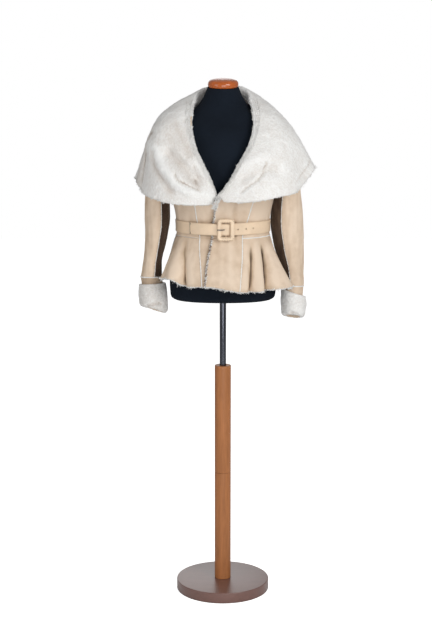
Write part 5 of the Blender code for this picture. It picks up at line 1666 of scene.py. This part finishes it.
def build_prong(low, high):
    """The prong: out of the strap beside the bar, over the frame's left side."""
    left = BUCKLE_X - BUCKLE_WIDTH / 2
    inner_left = left + BUCKLE_BAR
    keys = [0.0, 0.2, 0.36, 0.6, 0.85, 1.0]
    x = [BUCKLE_X - 0.003, inner_left + 0.006, inner_left + 0.001, left + 0.006, left + 0.001,
         left - 0.001]
    depth = [low, low + 0.0008, high, high + 0.0004, high, high - 0.001]
    at = np.linspace(0, 1, 24)[:, None]
    size = 0.0013 * np.sqrt(np.clip(1.02 - (2 * np.abs(at - 0.5)) ** 14, 0.02, 1.0))
    turn = np.linspace(0, 2 * math.pi, 12, endpoint=False)[None]
    grid = point(through(keys, x, at),
                 -through(keys, depth, at) - 0.0008 + size * 0.62 * np.cos(turn),
                 BUCKLE_Z + size * np.sin(turn))
    mesh = mesh_from("prong", grid, strips(*grid.shape[:2], True), [material("polished steel")])
    new_piece("prong", mesh, ["buckle_prong"])


# ---------------------------------------------------------------- the form and the stand
# Faint wrinkles of the form's jersey.
FORM_LINES = [
    ((-0.058, -0.11, 1.490), (-0.020, -0.13, 1.484), (0.030, -0.12, 1.488)),
    ((-0.062, -0.12, 1.470), (-0.030, -0.13, 1.466)),
    ((0.005, -0.08, 1.540), (0.040, -0.07, 1.542)),
]


def build_form():
    """The jersey-covered form, lightly wrinkled across the chest."""
    z = np.concatenate([np.linspace(FORM_BOTTOM_Z, FORM_BOTTOM_Z + 0.02, 8),
                        np.linspace(FORM_BOTTOM_Z + 0.025, NECK_TOP_Z, 170)])
    grid = form_point(np.linspace(0, 360, 160, endpoint=False)[None], z[:, None])
    out = grid_normals(grid, True)
    wave = clouds(grid * np.array([0.5, 0.5, 1.6]), 0.02, 5.0) * 0.0006
    wave += clouds(grid, 0.06, 6.0) * 0.0008
    wave += strokes(grid, [(nearest_on(grid, between(line)), -0.0016, 0.0035)
                           for line in FORM_LINES])
    inside = ease_in(z, 0.94, 0.97) * (1 - ease_in(z, 1.53, 1.56))
    grid = grid + out * (wave * inside[:, None])[..., None]
    under = [point(*(grid[0] * share).T[:2], FORM_BOTTOM_Z) for share in (0.08, 0.5, 0.9, 0.97)]
    middle = grid[-1].mean(axis=0)
    over = [middle + (grid[-1] - middle) * share for share in (0.9, 0.5, 0.01)]
    grid = np.concatenate([under, grid, over])
    mesh = mesh_from("form", grid, strips(*grid.shape[:2], True), [material("black jersey")])
    new_piece("form_cover", mesh, ["dress_form"])


def build_cap():
    """The turned cap, seated on the sloping top of the neck."""
    r, h = CAP_RADIUS, CAP_HEIGHT
    keys = np.linspace(0, 1, 8)
    radius = [0.94 * r, 0.99 * r, r, 0.965 * r, 0.84 * r, 0.55 * r, 0.25 * r, 0.0]
    height = [0, 0.14 * h, 0.38 * h, 0.62 * h, 0.83 * h, 0.96 * h, 0.995 * h, h]
    at = np.linspace(0, 1, 40)
    profile = [(0.0, 0.0), (0.5 * r, 0.0),
               *zip(through(keys, radius, at), through(keys, height, at))]
    points, faces = lathe(profile, 96)
    x, y, z = points.T
    seat = (form_point(0, NECK_TOP_Z) + form_point(180, NECK_TOP_Z)) / 2
    cos, sin = math.cos(NECK_TILT), math.sin(NECK_TILT)
    points = point(x, y * cos - z * sin + seat[1], y * sin + z * cos + seat[2] + 0.0005)
    new_piece("cap", mesh_from("cap", points, faces, [material("cap wood")]),
              ["neck_cap"])


def turned_piece(name, profile, corner, material_name, replaced, body=STAND):
    """A piece turned on a lathe, from (radius, height) rows with rounded corners."""
    points, faces = lathe(rounded(profile, corner), 144)
    mesh = mesh_from(name, points, faces, [material(material_name)])
    new_piece(name, mesh, [replaced], body)


def build_stand():
    """The base, the two parts of the pole and the rod."""
    top, r = BASE_THICKNESS, BASE_RADIUS
    turned_piece("base_disc", [(0, 0), (r - 0.001, 0), (r, 0.002), (r, top), (0, top)], 0.0025,
                 "base wood", "base")
    low, high, r = top + SEAM, POLE_JOINT_Z - SEAM, POLE_RADIUS
    turned_piece("pole_low", [(0, low), (r, low), (r, high), (0, high)], 0.0016, "pole wood",
                 "pole_lower")
    bore = ROD_RADIUS + 0.0006
    turned_piece("pole_high", [(bore, POLE_JOINT_Z), (r, POLE_JOINT_Z), (r, POLE_TOP_Z),
                               (bore, POLE_TOP_Z), (bore, ROD_BOTTOM_Z)], 0.0016, "pole wood",
                 "pole_upper")
    low, high, r = ROD_BOTTOM_Z, ROD_TOP_Z, ROD_RADIUS
    turned_piece("post_rod", [(0, low), (r, low), (r, high), (0, high)], 0.001, "polished steel",
                 "rod", POST)


# ---------------------------------------------------------------- the studio
LIGHTS = [
    # name, place, width and height
    ("key", (2.3, -3.0, 2.7), (1.6, 2.2)),
    ("fill", (-2.8, -2.2, 1.9), (1.6, 2.4)),
    ("front", (0.4, -4.4, 0.9), (2.4, 1.4)),
    ("back", (-0.6, 4.2, 2.1), (2.4, 2.0)),
]
LIT_POINT = (0.0, 0.0, 1.15)


def placed(name, data, at):
    """A new object of the studio."""
    thing = bpy.data.objects.new(name, data)
    thing.location = at
    bpy.context.scene.collection.objects.link(thing)
    return thing


def area_light(name, at, size, power):
    """A soft rectangular light, turned to the jacket."""
    light = bpy.data.lights.new(name, "AREA")
    light.shape = "RECTANGLE"
    light.size, light.size_y = size
    light.energy = power
    way = Vector(LIT_POINT) - Vector(at)
    placed(name, light, at).rotation_euler = way.to_track_quat("-Z", "Y").to_euler()


def build_floor():
    """A pale floor, which looks as white as the surroundings."""
    mesh = bpy.data.meshes.new("floor")
    reach = 9.0
    mesh.from_pydata([(-reach, -reach, 0.0), (reach, -reach, 0.0), (reach, reach, 0.0),
                      (-reach, reach, 0.0)], [], [(0, 1, 2, 3)])
    pale = bpy.data.materials.new("pale floor")
    pale.use_nodes = True
    tree = pale.node_tree
    shader = tree.nodes["Principled BSDF"]
    shader.inputs["Base Color"].default_value = (0.86, 0.86, 0.86, 1.0)
    shader.inputs["Roughness"].default_value = 0.9
    seen = add(tree, "ShaderNodeLightPath").outputs["Is Camera Ray"]
    shader.inputs["Emission Color"].default_value = (1.0, 1.0, 1.0, 1.0)
    tree.links.new(combine(tree, "MULTIPLY", seen, 0.8), shader.inputs["Emission Strength"])
    mesh.materials.append(pale)
    placed("floor", mesh, (0.0, 0.0, 0.0))


def build_studio():
    """The floor, soft lights, white surroundings and the camera."""
    studio = bpy.context.scene.jacket_studio
    build_floor()
    for word, at, size in LIGHTS:
        area_light(word + "_light", at, size, getattr(studio, word + "_power"))
    world = bpy.data.worlds.new("studio")
    bpy.context.scene.world = world
    world.use_nodes = True
    tree = world.node_tree
    background = tree.nodes["Background"]
    background.inputs["Color"].default_value = (1.0, 1.0, 1.0, 1.0)
    seen = add(tree, "ShaderNodeLightPath").outputs["Is Camera Ray"]
    tree.links.new(combine(tree, "MAXIMUM", seen, studio.sky), background.inputs["Strength"])
    lens = bpy.data.cameras.new("camera")
    lens.sensor_width = 36.0
    lens.lens = studio.lens
    camera = placed("camera", lens, (-studio.aside, -studio.distance, studio.height))
    camera.rotation_euler = (math.radians(90) - studio.pitch, 0.0, 0.0)
    bpy.context.scene.camera = camera
    bpy.context.scene.view_settings.view_transform = "Standard"


# ---------------------------------------------------------------- the add-on
class JACKET_OT_body(Operator):
    """Build the fronts, side fronts and back"""

    bl_idname = "jacket.body"
    bl_label = "Body"

    def execute(self, context):
        build_fronts()
        build_sides()
        build_back()
        return {"FINISHED"}


class JACKET_OT_peplum(Operator):
    """Build the flared peplum with its flutes and its woolly hem"""

    bl_idname = "jacket.peplum"
    bl_label = "Peplum"

    def execute(self, context):
        build_peplum()
        return {"FINISHED"}


class JACKET_OT_collar(Operator):
    """Build both halves of the turned-down woolly collar"""

    bl_idname = "jacket.collar"
    bl_label = "Collar"

    def execute(self, context):
        build_collar("left", COLLAR_LEFT, 1, CREASES_LEFT, LINES_LEFT)
        build_collar("right", COLLAR_RIGHT, -1, CREASES_RIGHT, LINES_RIGHT)
        return {"FINISHED"}


class JACKET_OT_sleeves(Operator):
    """Build both sleeves with their wrist bands and turned-back cuffs"""

    bl_idname = "jacket.sleeves"
    bl_label = "Sleeves"

    def execute(self, context):
        build_sleeve("left", SLEEVE_LEFT, WRIST_LEFT, CUFF_LEFT, 1)
        build_sleeve("right", SLEEVE_RIGHT, WRIST_RIGHT, CUFF_RIGHT, -1)
        return {"FINISHED"}


class JACKET_OT_belt(Operator):
    """Build the belt with its covered buckle"""

    bl_idname = "jacket.belt"
    bl_label = "Belt"

    def execute(self, context):
        build_belt()
        build_buckle()
        return {"FINISHED"}


class JACKET_OT_form(Operator):
    """Build the dress form with its cap and its wooden stand"""

    bl_idname = "jacket.form"
    bl_label = "Dress form"

    def execute(self, context):
        build_form()
        build_cap()
        build_stand()
        return {"FINISHED"}


class JACKET_OT_studio(Operator):
    """Set up the floor, the lights, the surroundings and the camera"""

    bl_idname = "jacket.studio"
    bl_label = "Studio"

    def execute(self, context):
        build_studio()
        return {"FINISHED"}


OPERATORS = [JACKET_OT_body, JACKET_OT_peplum, JACKET_OT_collar, JACKET_OT_sleeves,
             JACKET_OT_belt, JACKET_OT_form, JACKET_OT_studio]


class JACKET_PT_panel(Panel):
    """Settings and steps of the jacket"""

    bl_label = "Jacket"
    bl_space_type = "VIEW_3D"
    bl_region_type = "UI"
    bl_category = "Jacket"

    def draw(self, context):
        layout = self.layout
        for title, group_name in (("Colours", "jacket_colours"), ("Fleece", "jacket_fleece"),
                                  ("Studio", "jacket_studio")):
            box = layout.box()
            box.label(text=title)
            settings = getattr(context.scene, group_name)
            for name in settings.__annotations__:
                box.prop(settings, name)
        for operator in OPERATORS:
            layout.operator(operator.bl_idname)


CLASSES = [JacketColours, FleeceSettings, StudioSettings, *OPERATORS, JACKET_PT_panel]


def register():
    for one in CLASSES:
        bpy.utils.register_class(one)
    bpy.types.Scene.jacket_colours = PointerProperty(type=JacketColours)
    bpy.types.Scene.jacket_fleece = PointerProperty(type=FleeceSettings)
    bpy.types.Scene.jacket_studio = PointerProperty(type=StudioSettings)


def unregister():
    del bpy.types.Scene.jacket_studio
    del bpy.types.Scene.jacket_fleece
    del bpy.types.Scene.jacket_colours
    for one in reversed(CLASSES):
        bpy.utils.unregister_class(one)


def main():
    """Registers the add-on and runs its steps in order."""
    register()
    bpy.ops.jacket.body()
    bpy.ops.jacket.peplum()
    bpy.ops.jacket.collar()
    bpy.ops.jacket.sleeves()
    bpy.ops.jacket.belt()
    bpy.ops.jacket.form()
    bpy.ops.jacket.studio()
    bpy.context.view_layer.update()


if __name__ == "__main__":
    main()
